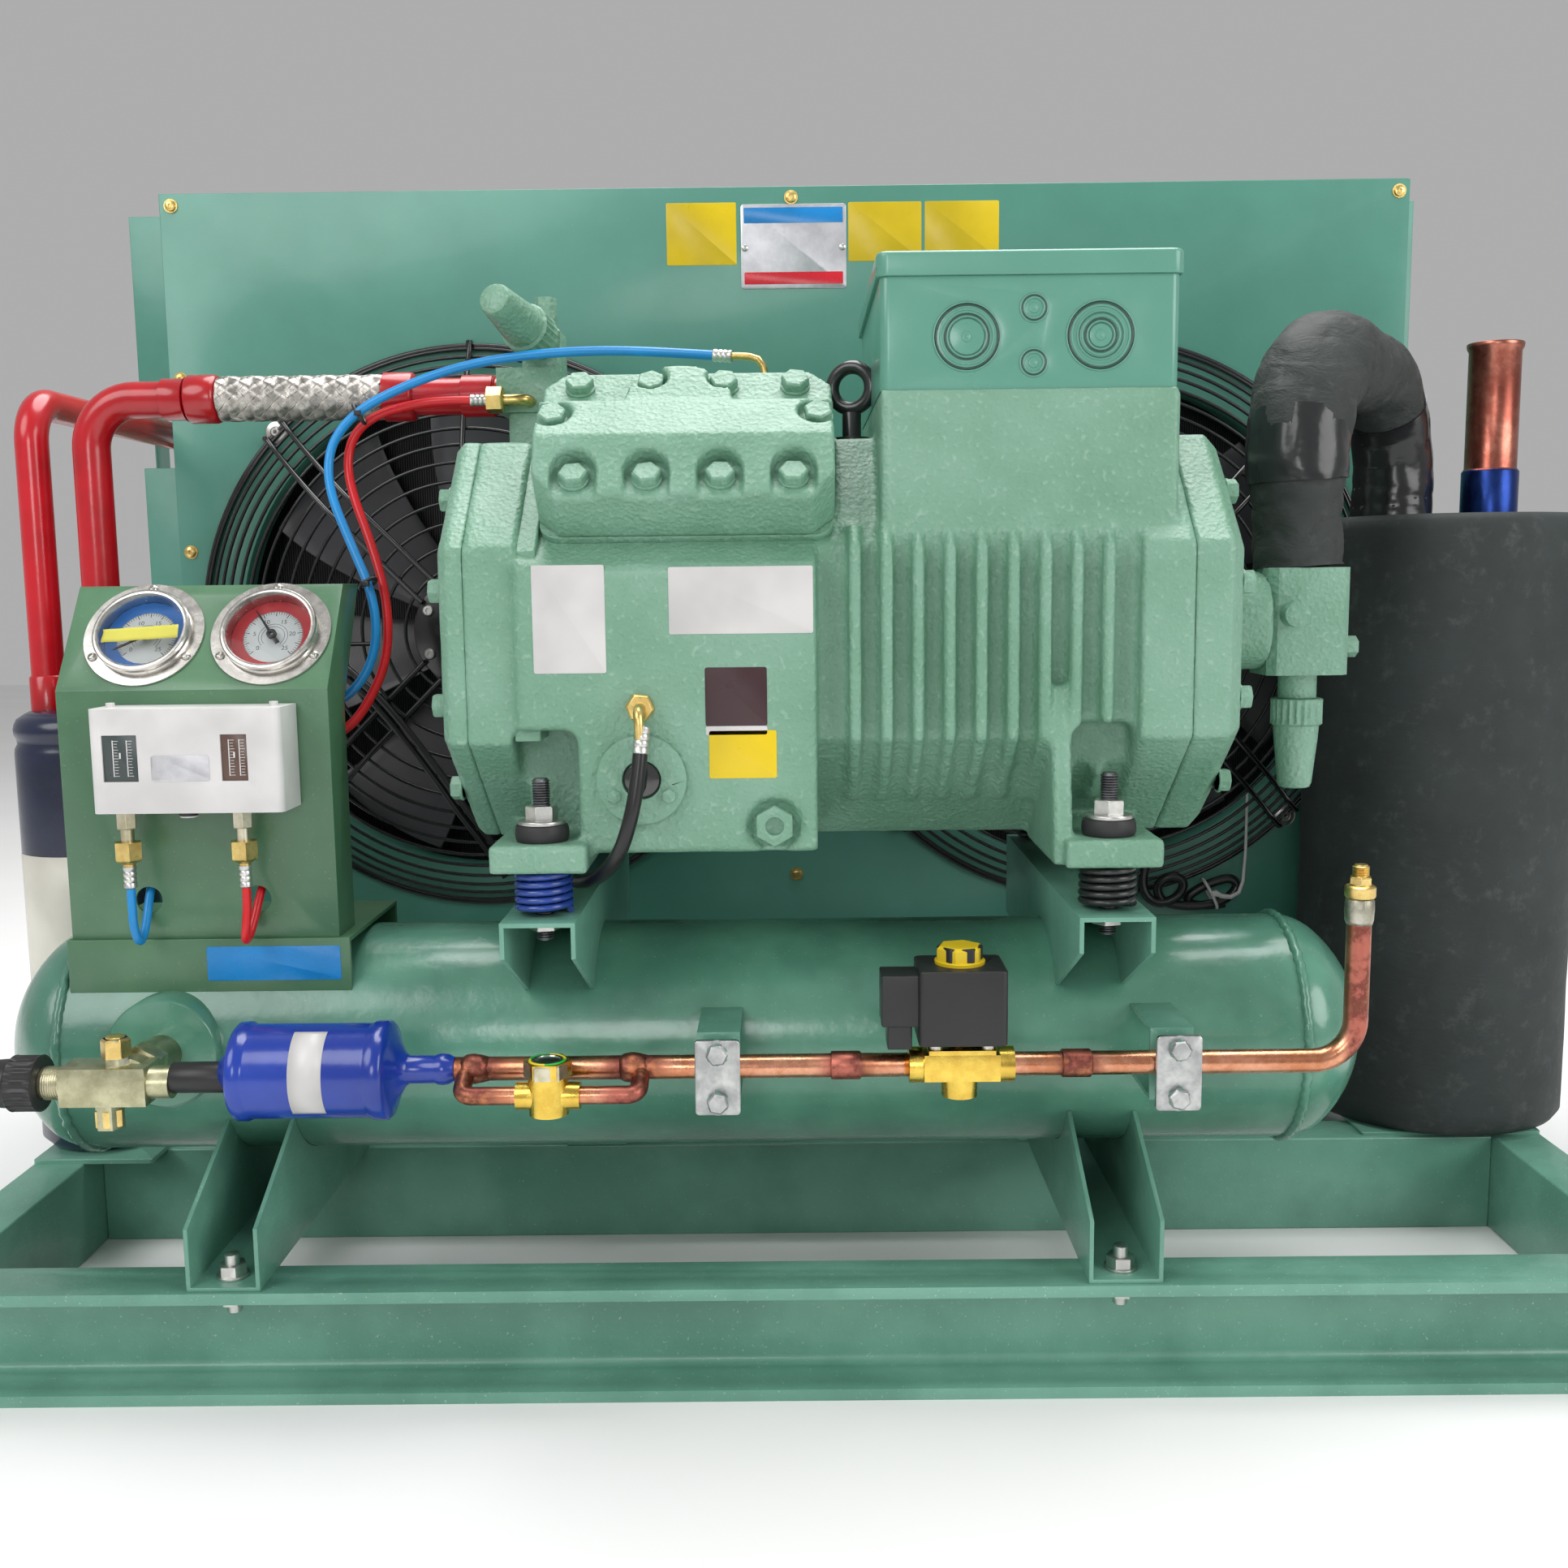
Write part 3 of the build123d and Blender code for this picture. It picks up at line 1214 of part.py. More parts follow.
# ---------------------------------------------------------------- assembly
def nodes():
    """Every piece of the unit by name."""
    corners = list(feet())
    return {
        "front_beam": front_beam(),
        "rear_beam": rear_beam(),
        "side_beams": group(side_beam(-1), side_beam(1)),
        "cross_beam": cross_beam(),
        "receiver": receiver(),
        "receiver_saddles": group(*[saddle(x) for x in saddle_x]),
        "saddle_bolts": group(*[saddle_bolt(x) for x in saddle_x]),
        "spring_brackets": group(*[spring_bracket(x) for x in bracket_x]),
        "bracket_legs": group(*[bracket_leg(x) for x in bracket_x]),
        "mount_springs": group(*[mount_spring(x, y) for x, y in corners]),
        "spring_studs": group(*[spring_stud(x, y) for x, y in corners]),
        "rubber_rings": group(*[rubber_ring(x, y) for x, y in corners]),
        "crankcase": crankcase(),
        "bearing_cover": bearing_cover(),
        "motor_cover": motor_cover(),
        "valve_plates": group(valve_plate(-1), valve_plate(1)),
        "cylinder_head_front": cylinder_head(-1),
        "cylinder_head_rear": cylinder_head(1),
        "compressor_bolts": group(
            *head_bolts(-1),
            *head_bolts(1),
            *end_bolts(cover_left_x, -1),
            *end_bolts(cover_right_x, 1),
            lifting_eye(),
        ),
        "crankshaft": crankshaft(),
        "motor_rotor": motor_rotor(),
        "motor_stator": motor_stator(),
        "terminal_box": terminal_box(),
        "terminal_lid": terminal_lid(),
        "oil_fittings": group(oil_sight_glass(), oil_drain()),
        "discharge_valve": discharge_valve(),
        "discharge_cap": valve_cap(discharge_cap_base, discharge_cap_axis, 12),
        "discharge_pipe": discharge_pipe(),
        "discharge_hose": discharge_hose(),
        "oil_separator": oil_separator(),
        "condenser_inlet": condenser_inlet(),
        "suction_valve": suction_valve(),
        "suction_cap": valve_cap((suction_x, compressor_y, suction_z - 60), (0, 0, -1), 0),
        "suction_pipe": suction_pipe(),
        "suction_stub": suction_stub(),
        "accumulator": accumulator(),
        "receiver_valve": receiver_valve(),
        "receiver_cap": valve_cap(liquid_cap_base, (-1, 0, 0), 0),
        "filter_drier": filter_drier(),
        "liquid_pipe": liquid_pipe(),
        "moisture_indicator": moisture_indicator(),
        "solenoid_valve": solenoid_valve(),
        "solenoid_coil": solenoid_coil(),
        "pipe_clamps": group(*[piece for x in clamp_x for piece in pipe_clamp(x)]),
        "access_fitting": access_fitting(),
        "gauge_panel": group(gauge_panel(), panel_tray()),
        "gauges": group(*[gauge_body(x) for x in gauge_x], *[gauge_glass(x) for x in gauge_x]),
        "needle_low": gauge_needle(gauge_x[0], 120),
        "needle_high": gauge_needle(gauge_x[1], 35),
        "pressure_switch": pressure_switch(),
        "hose_fittings": group(switch_fittings(), gauge_tees(), hose_end_fittings()),
        "hoses_low": group(
            hose("low hose", low_hose_route, hose_radius), hose("low loop", low_loop_route, loop_radius)
        ),
        "hoses_high": group(
            hose("high hose", high_hose_route, hose_radius), hose("high loop", high_loop_route, loop_radius)
        ),
        "oil_hose": hose("oil hose", oil_hose_route, oil_hose_radius),
        "fan_panel": fan_panel(),
        "condenser_case": group(plenum_plates(), condenser_rails(), end_cover(-1), end_cover(1)),
        "condenser_coil": group(condenser_coil(), header_pipe()),
        "fan_guards": group(*[fan_guard(x) for x in fan_x], *[fan_motor(x) for x in fan_x]),
        "fan_left": fan_wheel(fan_x[0]),
        "fan_right": fan_wheel(fan_x[1]),
    }


def main():
    os.makedirs("parts", exist_ok=True)
    to_frame = Pos(0, -frame_depth / 2, 0)
    pieces = nodes()
    for name, shape in pieces.items():
        export_step(to_frame * shape, f"parts/{name}.step")
    print(len(pieces), "nodes written")


main()
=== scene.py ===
import math

import bmesh
import bpy
from mathutils import Matrix, Vector, noise


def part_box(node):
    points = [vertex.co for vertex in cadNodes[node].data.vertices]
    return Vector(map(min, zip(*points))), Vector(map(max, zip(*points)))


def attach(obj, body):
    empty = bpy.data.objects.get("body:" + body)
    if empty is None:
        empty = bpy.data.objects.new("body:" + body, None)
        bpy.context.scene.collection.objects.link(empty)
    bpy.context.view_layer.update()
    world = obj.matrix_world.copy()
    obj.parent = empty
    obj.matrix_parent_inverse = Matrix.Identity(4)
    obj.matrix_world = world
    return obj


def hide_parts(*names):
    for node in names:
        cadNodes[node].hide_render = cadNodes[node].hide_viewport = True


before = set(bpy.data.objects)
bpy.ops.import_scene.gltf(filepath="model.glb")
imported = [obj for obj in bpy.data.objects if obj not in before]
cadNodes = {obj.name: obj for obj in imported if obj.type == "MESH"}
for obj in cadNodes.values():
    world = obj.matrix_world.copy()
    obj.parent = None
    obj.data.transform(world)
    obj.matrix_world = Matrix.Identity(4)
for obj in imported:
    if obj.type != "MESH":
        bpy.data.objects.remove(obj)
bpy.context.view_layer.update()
millimetre = 0.001
frontEdge = -0.370  # the base's front edge in the frame's Y
rightward, leftward = (1, 0, 0), (-1, 0, 0)
backward, forward = (0, 1, 0), (0, -1, 0)
upward, downward = (0, 0, 1), (0, 0, -1)


def at(x, y, z):  # millimetres from the base's middle, front edge and floor
    return Vector((x * millimetre, y * millimetre + frontEdge, z * millimetre))


def fromBase(point):  # the same way back
    return (point - Vector((0, frontEdge, 0))) / millimetre


def link(made):
    bpy.context.scene.collection.objects.link(made)
    return made


# ---- camera
cameraSettings = {"place": (-0.0009, -1.3526, 0.5481), "tilt": 82.666, "turn": 0.254,
                  "roll": -0.646, "lens": 35.39, "sensor": 36, "nearest": 0.05}


def makeCamera():
    s = cameraSettings
    camera = link(bpy.data.objects.new("camera", bpy.data.cameras.new("camera")))
    camera.data.lens = s["lens"]
    camera.data.sensor_width = s["sensor"]
    camera.data.clip_start = s["nearest"]
    stance = Matrix.Translation(s["place"])
    for key, axis in (("turn", "Z"), ("tilt", "X"), ("roll", "Z")):
        stance = stance @ Matrix.Rotation(math.radians(s[key]), 4, axis)
    camera.matrix_world = stance
    bpy.context.scene.camera = camera


makeCamera()


# ---- finishes
class Wire:  # a node's output that takes part in sums
    def __init__(self, finish, socket):
        self.finish = finish
        self.socket = socket

    def maths(self, operation, first, second):
        return self.finish.node("Math", {"operation": operation}, {0: first, 1: second})

    def __add__(self, other):
        return self.maths("ADD", self, other)

    def __radd__(self, other):
        return self.maths("ADD", other, self)

    def __sub__(self, other):
        return self.maths("SUBTRACT", self, other)

    def __rsub__(self, other):
        return self.maths("SUBTRACT", other, self)

    def __mul__(self, other):
        return self.maths("MULTIPLY", self, other)

    def __rmul__(self, other):
        return self.maths("MULTIPLY", other, self)


finishes = {}


class Finish:  # one material and its nodes
    def __init__(self, name, **settings):
        self.material = bpy.data.materials.new(name)
        self.material.use_nodes = True
        self.tree = self.material.node_tree
        self.shader = self.tree.nodes["Principled BSDF"]
        for socket, value in settings.items():
            self.set(socket.replace("_", " "), value)
        finishes[name] = self.material

    def set(self, socket, value):
        self.plug(self.shader.inputs[socket], value)

    def plug(self, socket, value):
        if isinstance(value, Wire):
            self.tree.links.new(value.socket, socket)
        elif socket.type == "RGBA" and len(value) == 3:
            socket.default_value = (*value, 1)
        else:
            socket.default_value = value

    def node(self, kind, settings=None, sockets=None, output=0):
        made = self.tree.nodes.new("ShaderNode" + kind)
        for name, value in (settings or {}).items():
            setattr(made, name, value)
        for name, value in (sockets or {}).items():
            self.plug(made.inputs[name], value)
        return Wire(self, made.outputs[output])

    def place(self):  # a point of the unit, in metres
        return self.node("TexCoord", output="Object")

    def axis(self, letter):
        return self.node("SeparateXYZ", sockets={0: self.place()}, output=letter)

    def magnitude(self, wire):
        return self.node("Math", {"operation": "ABSOLUTE"}, {0: wire})

    def grain(self, scale, detail=3, rough=0.5, stretch=None, warp=0.0):
        point = self.place()
        if stretch:
            point = self.node("VectorMath", {"operation": "MULTIPLY"}, {0: point, 1: stretch})
        return self.node("TexNoise", None, {
            "Vector": point, "Scale": scale, "Detail": detail, "Roughness": rough,
            "Distortion": warp})

    def cells(self, scale, feature):
        sockets = {"Vector": self.place(), "Scale": scale}
        return self.node("TexVoronoi", {"feature": feature}, sockets, "Distance")

    def mask(self, wire, low, high):
        return self.node("MapRange", {"interpolation_type": "SMOOTHSTEP"}, {
            "Value": wire, "From Min": low, "From Max": high})

    def mix(self, factor, first, second):
        sockets = {0: factor, 6: first, 7: second}  # 6 and 7 are the colour inputs
        return self.node("Mix", {"data_type": "RGBA"}, sockets, 2)

    def bump(self, height, distance, strength=1.0, under=None):
        sockets = {"Height": height, "Distance": distance, "Strength": strength}
        if under:
            sockets["Normal"] = under
        return self.node("Bump", None, sockets)


def enamel(name, colour, deep, rough, peel, waves, dust, coat):
    paint = Finish(name, Coat_Weight=coat, Coat_Roughness=0.12)
    cloud = paint.mask(paint.grain(7, 4, 0.6), 0.35, 0.68)
    tone = paint.mix(cloud, deep, colour)
    speck = paint.mask(paint.grain(420, 2, 0.7), 0.66, 0.74)
    paint.set("Base Color", paint.mix(speck * dust, tone, (0.75, 0.80, 0.74)))
    paint.set("Roughness", paint.grain(24, 4) * 0.16 + (rough - 0.08))
    wavy = paint.bump(paint.grain(38, 3, 0.55), waves, 0.7)
    paint.set("Normal", paint.bump(paint.grain(520, 3, 0.6), peel, 0.6, wavy))


def castPaint(name, colour, deep):
    paint = Finish(name, Coat_Weight=0.22, Coat_Roughness=0.2)
    pebble = paint.cells(330, "SMOOTH_F1") * 0.9 + paint.grain(260, 4, 0.6) * 1.1
    cloud = paint.mask(paint.grain(9, 4, 0.6), 0.3, 0.7)
    tone = paint.mix(cloud, deep, colour)
    pit = paint.mask(paint.grain(46, 5, 0.75), 0.72, 0.80)
    tone = paint.mix(pit * 0.5, tone, tuple(0.45 * c for c in deep))
    # painted highlight: the pebble's raised crests are tinted lighter, as if lit
    crest = paint.mask(pebble, 1.05, 1.35)
    paint.set("Base Color", paint.mix(crest * 0.18, tone, (0.52, 0.68, 0.58)))
    paint.set("Roughness", paint.grain(30, 3) * 0.2 + 0.34)
    lumps = paint.bump(paint.grain(55, 4, 0.6), 0.0014, 0.7)
    paint.set("Normal", paint.bump(pebble, 0.0011, 0.85, lumps))


def metal(name, colour, worn, rough, brush=None, bumps=0.00008):
    bare = Finish(name, Metallic=1.0)
    cloud = bare.mask(bare.grain(60, 5, 0.65), 0.35, 0.7)
    bare.set("Base Color", bare.mix(cloud, worn, colour))
    bare.set("Roughness", bare.grain(180, 4, 0.6, brush) * 0.3 + (rough - 0.12))
    bare.set("Normal", bare.bump(bare.grain(700, 3, 0.6, brush), bumps, 0.6))


def moulded(name, colour, rough, grainSize=900, bumps=0.00006):
    plastic = Finish(name, IOR=1.48)
    cloud = plastic.mask(plastic.grain(16, 3), 0.3, 0.7)
    plastic.set("Base Color", plastic.mix(cloud, tuple(0.8 * c for c in colour), colour))
    plastic.set("Roughness", plastic.grain(70, 3) * 0.16 + (rough - 0.08))
    plastic.set("Normal", plastic.bump(plastic.grain(grainSize, 2), bumps, 0.7))


def foamSkin(name, colour, wrinkle):
    foam = Finish(name, Specular_IOR_Level=0.35)
    cloud = foam.mask(foam.grain(11, 4, 0.6), 0.3, 0.75)
    chalk = foam.mask(foam.grain(60, 5, 0.7), 0.52, 0.80)
    tone = foam.mix(cloud, tuple(0.72 * c for c in colour), colour)
    foam.set("Base Color", foam.mix(chalk * 0.4, tone, (0.110, 0.116, 0.114)))
    foam.set("Roughness", foam.grain(45, 3) * 0.2 + 0.56)
    folds = foam.bump(foam.grain(26, 5, 0.62, (1, 1, 2.2), 0.6), wrinkle, 0.8)
    foam.set("Normal", foam.bump(foam.grain(900, 3, 0.7), 0.00012, 0.7, folds))


def copperTube(joints):  # scorched near its brazed joints
    tube = Finish("copperTube", Metallic=1.0)
    x = tube.axis("X")
    scorch = tube.grain(34, 5, 0.7)
    heat = None
    for place, reach in joints:
        near = 1 - tube.mask(tube.magnitude(x - place), reach * 0.3, reach)
        heat = near if heat is None else heat + near
    clean = tube.mask(scorch, 0.35, 0.65)
    bright = tube.mix(clean, (0.560, 0.215, 0.110), (0.800, 0.400, 0.260))
    sooty = tube.mask(scorch, 0.42, 0.60)
    burnt = tube.mix(sooty, (0.110, 0.030, 0.030), (0.460, 0.150, 0.110))
    tube.set("Base Color", tube.mix(heat * tube.mask(scorch, 0.30, 0.5), bright, burnt))
    tube.set("Roughness", heat * 0.16 + tube.grain(90, 4) * 0.22 + 0.16)
    tube.set("Normal", tube.bump(tube.grain(240, 4, 0.65), 0.00025, 0.6))


def stubCopper(paintTop):  # painted below that height, in metres
    stub = Finish("stubCopper", Metallic=1.0)
    worn = stub.mask(stub.grain(26, 5, 0.7), 0.35, 0.65)
    bare = stub.mix(worn, (0.300, 0.085, 0.060), (0.520, 0.210, 0.150))
    ragged = stub.axis("Z") + stub.grain(40, 4) * 0.006
    above = stub.mask(ragged, paintTop, paintTop + 0.0015)
    stub.set("Base Color", stub.mix(above, (0.020, 0.045, 0.200), bare))
    stub.set("Roughness", stub.grain(90, 4) * 0.25 + 0.18)
    stub.set("Normal", stub.bump(stub.grain(200, 4, 0.65), 0.0002, 0.6))


def coilFins(perMetre):
    fins = Finish("coilFins", Metallic=0.6)
    comb = fins.node("Math", {"operation": "FRACT"}, {0: fins.axis("X") * perMetre})
    # painted shade: the gaps between fins are near black and the fin edges lighter
    edge = fins.mask(fins.magnitude(comb - 0.5), 0.15, 0.32)
    tone = fins.mix(edge, (0.006, 0.006, 0.006), (0.060, 0.062, 0.064))
    dirt = fins.mask(fins.grain(30, 4), 0.5, 0.8)
    fins.set("Base Color", fins.mix(dirt * 0.4, tone, (0.02, 0.02, 0.02)))
    fins.set("Roughness", fins.grain(60, 3) * 0.2 + 0.4)
    fins.set("Normal", fins.bump(edge, 0.0008, 0.6))


def glass(name, size, spread, least, **settings):
    pane = Finish(name, **settings)
    pane.set("Roughness", pane.grain(size, 2) * spread + least)


enamels = {  # colour, deeper colour, roughness, orange peel, waves, dust, coat
    "frameEnamel": ((0.150, 0.350, 0.265), (0.095, 0.250, 0.185), 0.36, 0.0003, 0.0016, 0.35, 0.2),
    "tankEnamel": ((0.105, 0.290, 0.205), (0.060, 0.180, 0.125), 0.24, 0.00012, 0.0012, 0.12, 0.4),
    "sheetEnamel": (
        (0.080, 0.275, 0.208), (0.070, 0.245, 0.185), 0.36, 0.00006, 0.0003, 0.03, 0.15),
    "boxEnamel": ((0.110, 0.310, 0.235), (0.095, 0.275, 0.205), 0.30, 0.00005, 0.0002, 0.03, 0.3),
    "panelEnamel": ((0.085, 0.200, 0.105), (0.058, 0.145, 0.076), 0.34, 0.00012, 0.0005, 0.08, 0.2),
    # painted shade: the box's own green darkened, for the shade inside its knock-out grooves
    "darkEnamel": ((0.030, 0.075, 0.052), (0.018, 0.050, 0.036), 0.34, 0.0001, 0.0006, 0.1, 0.2),
    "redEnamel": ((0.560, 0.008, 0.018), (0.340, 0.004, 0.008), 0.24, 0.00005, 0.0006, 0.0, 0.25),
    "navyEnamel": ((0.008, 0.014, 0.045), (0.004, 0.008, 0.022), 0.26, 0.00006, 0.0004, 0.0, 0.25),
    "drierEnamel": ((0.012, 0.052, 0.400), (0.006, 0.028, 0.250), 0.22, 0.00006, 0.0005, 0.0, 0.3),
    "springEnamel": ((0.018, 0.060, 0.330), (0.008, 0.026, 0.170), 0.26, 0.00006, 0.0002, 0.0, 0.5),
    "blackEnamel": ((0.016, 0.017, 0.018), (0.009, 0.009, 0.010), 0.30, 0.00008, 0.0002, 0.04, 0.3),
    "guardBlack": ((0.012, 0.012, 0.014), (0.007, 0.007, 0.008), 0.22, 0.00003, 0.0001, 0.0, 0.4),
    "motorBlack": ((0.014, 0.014, 0.015), (0.008, 0.008, 0.008), 0.42, 0.00015, 0.0004, 0.1, 0.1),
}
metals = {  # colour, worn colour, roughness, then the brushing's stretch and the bumps' height
    "zincPlate": ((0.72, 0.72, 0.68), (0.52, 0.52, 0.50), 0.32),
    "chromeRim": ((0.66, 0.64, 0.60), (0.50, 0.48, 0.45), 0.2, None, 0.00001),
    "brassBare": ((0.86, 0.66, 0.26), (0.62, 0.44, 0.15), 0.28),
    "brassGlossy": ((0.86, 0.62, 0.12), (0.70, 0.46, 0.08), 0.22),
    "nickelPlate": ((0.70, 0.66, 0.52), (0.46, 0.42, 0.28), 0.32),
    "oliveNickel": ((0.56, 0.54, 0.36), (0.36, 0.35, 0.22), 0.34),
    "darkSteel": ((0.24, 0.24, 0.25), (0.12, 0.12, 0.13), 0.36),
    "braidWire": ((0.56, 0.53, 0.49), (0.26, 0.25, 0.23), 0.3),
    "plateAluminium": ((0.62, 0.62, 0.64), (0.50, 0.50, 0.53), 0.36, (1, 1, 30)),
    "coilCopper": ((0.40, 0.20, 0.13), (0.20, 0.10, 0.07), 0.4),
    "silverBraze": ((0.60, 0.58, 0.50), (0.30, 0.29, 0.22), 0.36, None, 0.0005),
    "clampZinc": ((0.60, 0.61, 0.60), (0.36, 0.37, 0.37), 0.34, None, 0.0002),
}
mouldings = {  # colour, roughness, then the bumps' fineness and height
    "blackMoulding": ((0.016, 0.016, 0.017), 0.40),
    "blackRubber": ((0.022, 0.022, 0.023), 0.55, 500, 0.0001),
    "hoseBlack": ((0.012, 0.012, 0.013), 0.30),
    "hoseBlue": ((0.010, 0.260, 0.640), 0.32),
    "hoseRed": ((0.620, 0.010, 0.016), 0.30),
    "whiteMoulding": ((0.660, 0.650, 0.640), 0.32),
    "yellowMoulding": ((0.700, 0.500, 0.010), 0.34),
    "tape": ((0.018, 0.019, 0.020), 0.22, 60, 0.0009),
    "paleTape": ((0.560, 0.520, 0.070), 0.45, 90, 0.0006),
    "fanBlade": ((0.060, 0.060, 0.066), 0.34),
    "stickerYellow": ((0.720, 0.520, 0.006), 0.30, 60, 0.0003),
    "stickerWhite": ((0.600, 0.590, 0.580), 0.36, 60, 0.0003),
    "stickerDark": ((0.045, 0.018, 0.022), 0.30, 60, 0.0003),
    "stickerCream": ((0.700, 0.680, 0.600), 0.38, 60, 0.0003),
    "bandBlue": ((0.008, 0.230, 0.600), 0.28, 60, 0.0002),
    "bandRed": ((0.650, 0.015, 0.030), 0.28, 60, 0.0002),
    "dialBlue": ((0.012, 0.150, 0.520), 0.35, 60, 0.0001),
    "dialRed": ((0.520, 0.020, 0.030), 0.35, 60, 0.0001),
    "dialPale": ((0.620, 0.640, 0.640), 0.40, 60, 0.0001),
    "dialInk": ((0.050, 0.050, 0.055), 0.45),
    "needleBlack": ((0.015, 0.015, 0.016), 0.35),
    "scaleDark": ((0.050, 0.065, 0.065), 0.30),
    "scaleBrown": ((0.110, 0.060, 0.045), 0.30),
    "rimGreen": ((0.020, 0.420, 0.040), 0.3),
    "rimYellow": ((0.800, 0.650, 0.020), 0.3),
}
foams = {  # colour and the wrinkles' height
    "foamTank": ((0.031, 0.040, 0.039), 0.0010),
    "foamPipe": ((0.038, 0.045, 0.042), 0.0042),
}
copperJoints = ((-0.214, 0.030), (-0.108, 0.030), (0.033, 0.024), (0.188, 0.022), (0.374, 0.012))
for recipe, table in ((enamel, enamels), (metal, metals), (moulded, mouldings), (foamSkin, foams)):
    for name, settings in table.items():
        recipe(name, *settings)
castPaint("castEnamel", (0.185, 0.350, 0.255), (0.130, 0.285, 0.190))
copperTube(copperJoints)
stubCopper(0.6420)
coilFins(420)
glass("darkGlass", 20, 0.05, 0.04, Base_Color=(0.02, 0.022, 0.02), IOR=1.5, Coat_Weight=1.0,
      Coat_Roughness=0.03)
glass("clearGlass", 12, 0.02, 0.01, Base_Color=(0.95, 0.97, 0.97), Transmission_Weight=1.0,
      IOR=1.2, Specular_IOR_Level=0.4)
print("finishes made")


# ---- mesh tools; lengths are in millimetres unless a note says otherwise
def around(count, start=0.0):  # evenly spaced angles of one turn
    return [start + 2 * math.pi * i / count for i in range(count)]


def jitter(x, y, z):
    return noise.noise(Vector((x, y, z)))


def meshObject(name, mesh, finish):
    mesh.materials.clear()
    mesh.materials.append(finishes[finish])
    return link(bpy.data.objects.new(name, mesh))


def smoothBy(piece, angle):
    mesh = piece.data
    mesh.polygons.foreach_set("use_smooth", [True] * len(mesh.polygons))
    mesh.set_sharp_from_angle(angle=math.radians(angle))


def fromBmesh(name, shape, finish, smooth=40):
    mesh = bpy.data.meshes.new(name)
    bmesh.ops.recalc_face_normals(shape, faces=shape.faces)
    shape.to_mesh(mesh)
    shape.free()
    made = meshObject(name, mesh, finish)
    smoothBy(made, smooth)
    return made


def applyModifiers(piece):
    depsgraph = bpy.context.evaluated_depsgraph_get()
    mesh = bpy.data.meshes.new_from_object(piece.evaluated_get(depsgraph))
    piece.modifiers.clear()
    piece.data = mesh
    return piece


def addModifier(piece, kind, **settings):
    modifier = piece.modifiers.new(kind.lower(), kind)
    for name, value in settings.items():
        setattr(modifier, name, value)


def join(name, parts, finish=None):
    shape = bmesh.new()
    for part in parts:
        shape.from_mesh(part.data)
    mesh = bpy.data.meshes.new(name)
    shape.to_mesh(mesh)
    shape.free()
    used = finish or parts[0].data.materials[0].name
    for part in parts:
        bpy.data.objects.remove(part)
    return meshObject(name, mesh, used)


def settle(piece, node=None, body="unit", slot=None):
    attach(piece, body)
    if node:
        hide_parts(node)


def nodeShape(node):
    shape = bmesh.new()
    shape.from_mesh(cadNodes[node].data)
    bmesh.ops.remove_doubles(shape, verts=shape.verts, dist=0.00002)
    return shape


def looseParts(shape):  # each loose part's vertices and the middle of its box
    seen, found = set(), []
    for first in shape.verts:
        if first in seen:
            continue
        seen.add(first)
        island = [first]
        for vertex in island:
            for edge in vertex.link_edges:
                other = edge.other_vert(vertex)
                if other not in seen:
                    seen.add(other)
                    island.append(other)
        low = Vector([min(v.co[axis] for v in island) for axis in range(3)])
        high = Vector([max(v.co[axis] for v in island) for axis in range(3)])
        found.append((island, (low + high) / 2))
    return found


def copyNode(name, node, finish, wanted=None):  # wanted picks loose parts by their middle
    shape = nodeShape(node)
    if wanted:
        for island, middle in looseParts(shape):
            if not wanted(fromBase(middle)):
                bmesh.ops.delete(shape, geom=island, context="VERTS")
    flat = math.radians(1.5)
    bmesh.ops.dissolve_limit(shape, angle_limit=flat, verts=shape.verts, edges=shape.edges)
    return fromBmesh(name, shape, finish)


def bevelled(name, node, finish, width, segments, angle=35, wanted=None):
    made = copyNode(name, node, finish, wanted)
    addModifier(made, "BEVEL", width=width * millimetre, segments=segments,
                limit_method="ANGLE", angle_limit=math.radians(angle), harden_normals=False,
                use_clamp_overlap=True, miter_outer="MITER_ARC")
    applyModifiers(made)
    smoothBy(made, 38)
    return made


def makeSkins(skins):  # node: name, finish, bevel width, bevel segments
    for node, (name, finish, width, segments) in skins.items():
        settle(bevelled(name, node, finish, width, segments), node)


def cast(name, node, finish, voxel, rounds, swell):  # a rough skin, swollen by that much
    made = copyNode(name, node, finish)
    addModifier(made, "REMESH", mode="VOXEL", voxel_size=voxel * millimetre,
                use_smooth_shade=True)
    addModifier(made, "SMOOTH", factor=0.5, iterations=rounds)
    applyModifiers(made)
    normals = [vertex.normal.copy() for vertex in made.data.vertices]
    for vertex, normal in zip(made.data.vertices, normals):
        lump = noise.noise(vertex.co * 45) * 0.25 + noise.noise(vertex.co * 130) * 0.12
        vertex.co += normal * (swell + lump) * millimetre
    smoothBy(made, 80)
    return made


def bridge(shape, low, high, closed=True, shift=0):  # faces between two rows of vertices
    count = len(low)
    for i in range(count if closed else count - 1):
        j = (i + 1) % count
        corners = (low[i], low[j], high[(j + shift) % count], high[(i + shift) % count])
        shape.faces.new(corners)


def closeEnds(shape, first, last):
    shape.faces.new(list(reversed(first)))
    shape.faces.new(last)


def weave(shape, rows):  # an open sheet of rows of places
    rows = [[shape.verts.new(place) for place in row] for row in rows]
    for low, high in zip(rows, rows[1:]):
        bridge(shape, low, high, False)


def sheet(name, rows, finish, thick, offset=0, smooth=80):
    shape = bmesh.new()
    weave(shape, rows)
    made = fromBmesh(name, shape, finish, smooth)
    addModifier(made, "SOLIDIFY", thickness=thick * millimetre, offset=offset)
    return applyModifiers(made)


def frameAt(start, direction):
    z = Vector(direction).normalized()
    x = Vector(upward)
    if abs(z.dot(x)) > 0.98:
        x = Vector(rightward)
    x = (x - z * x.dot(z)).normalized()
    matrix = Matrix((x, z.cross(x), z)).transposed().to_4x4()
    matrix.translation = Vector(start)
    return matrix


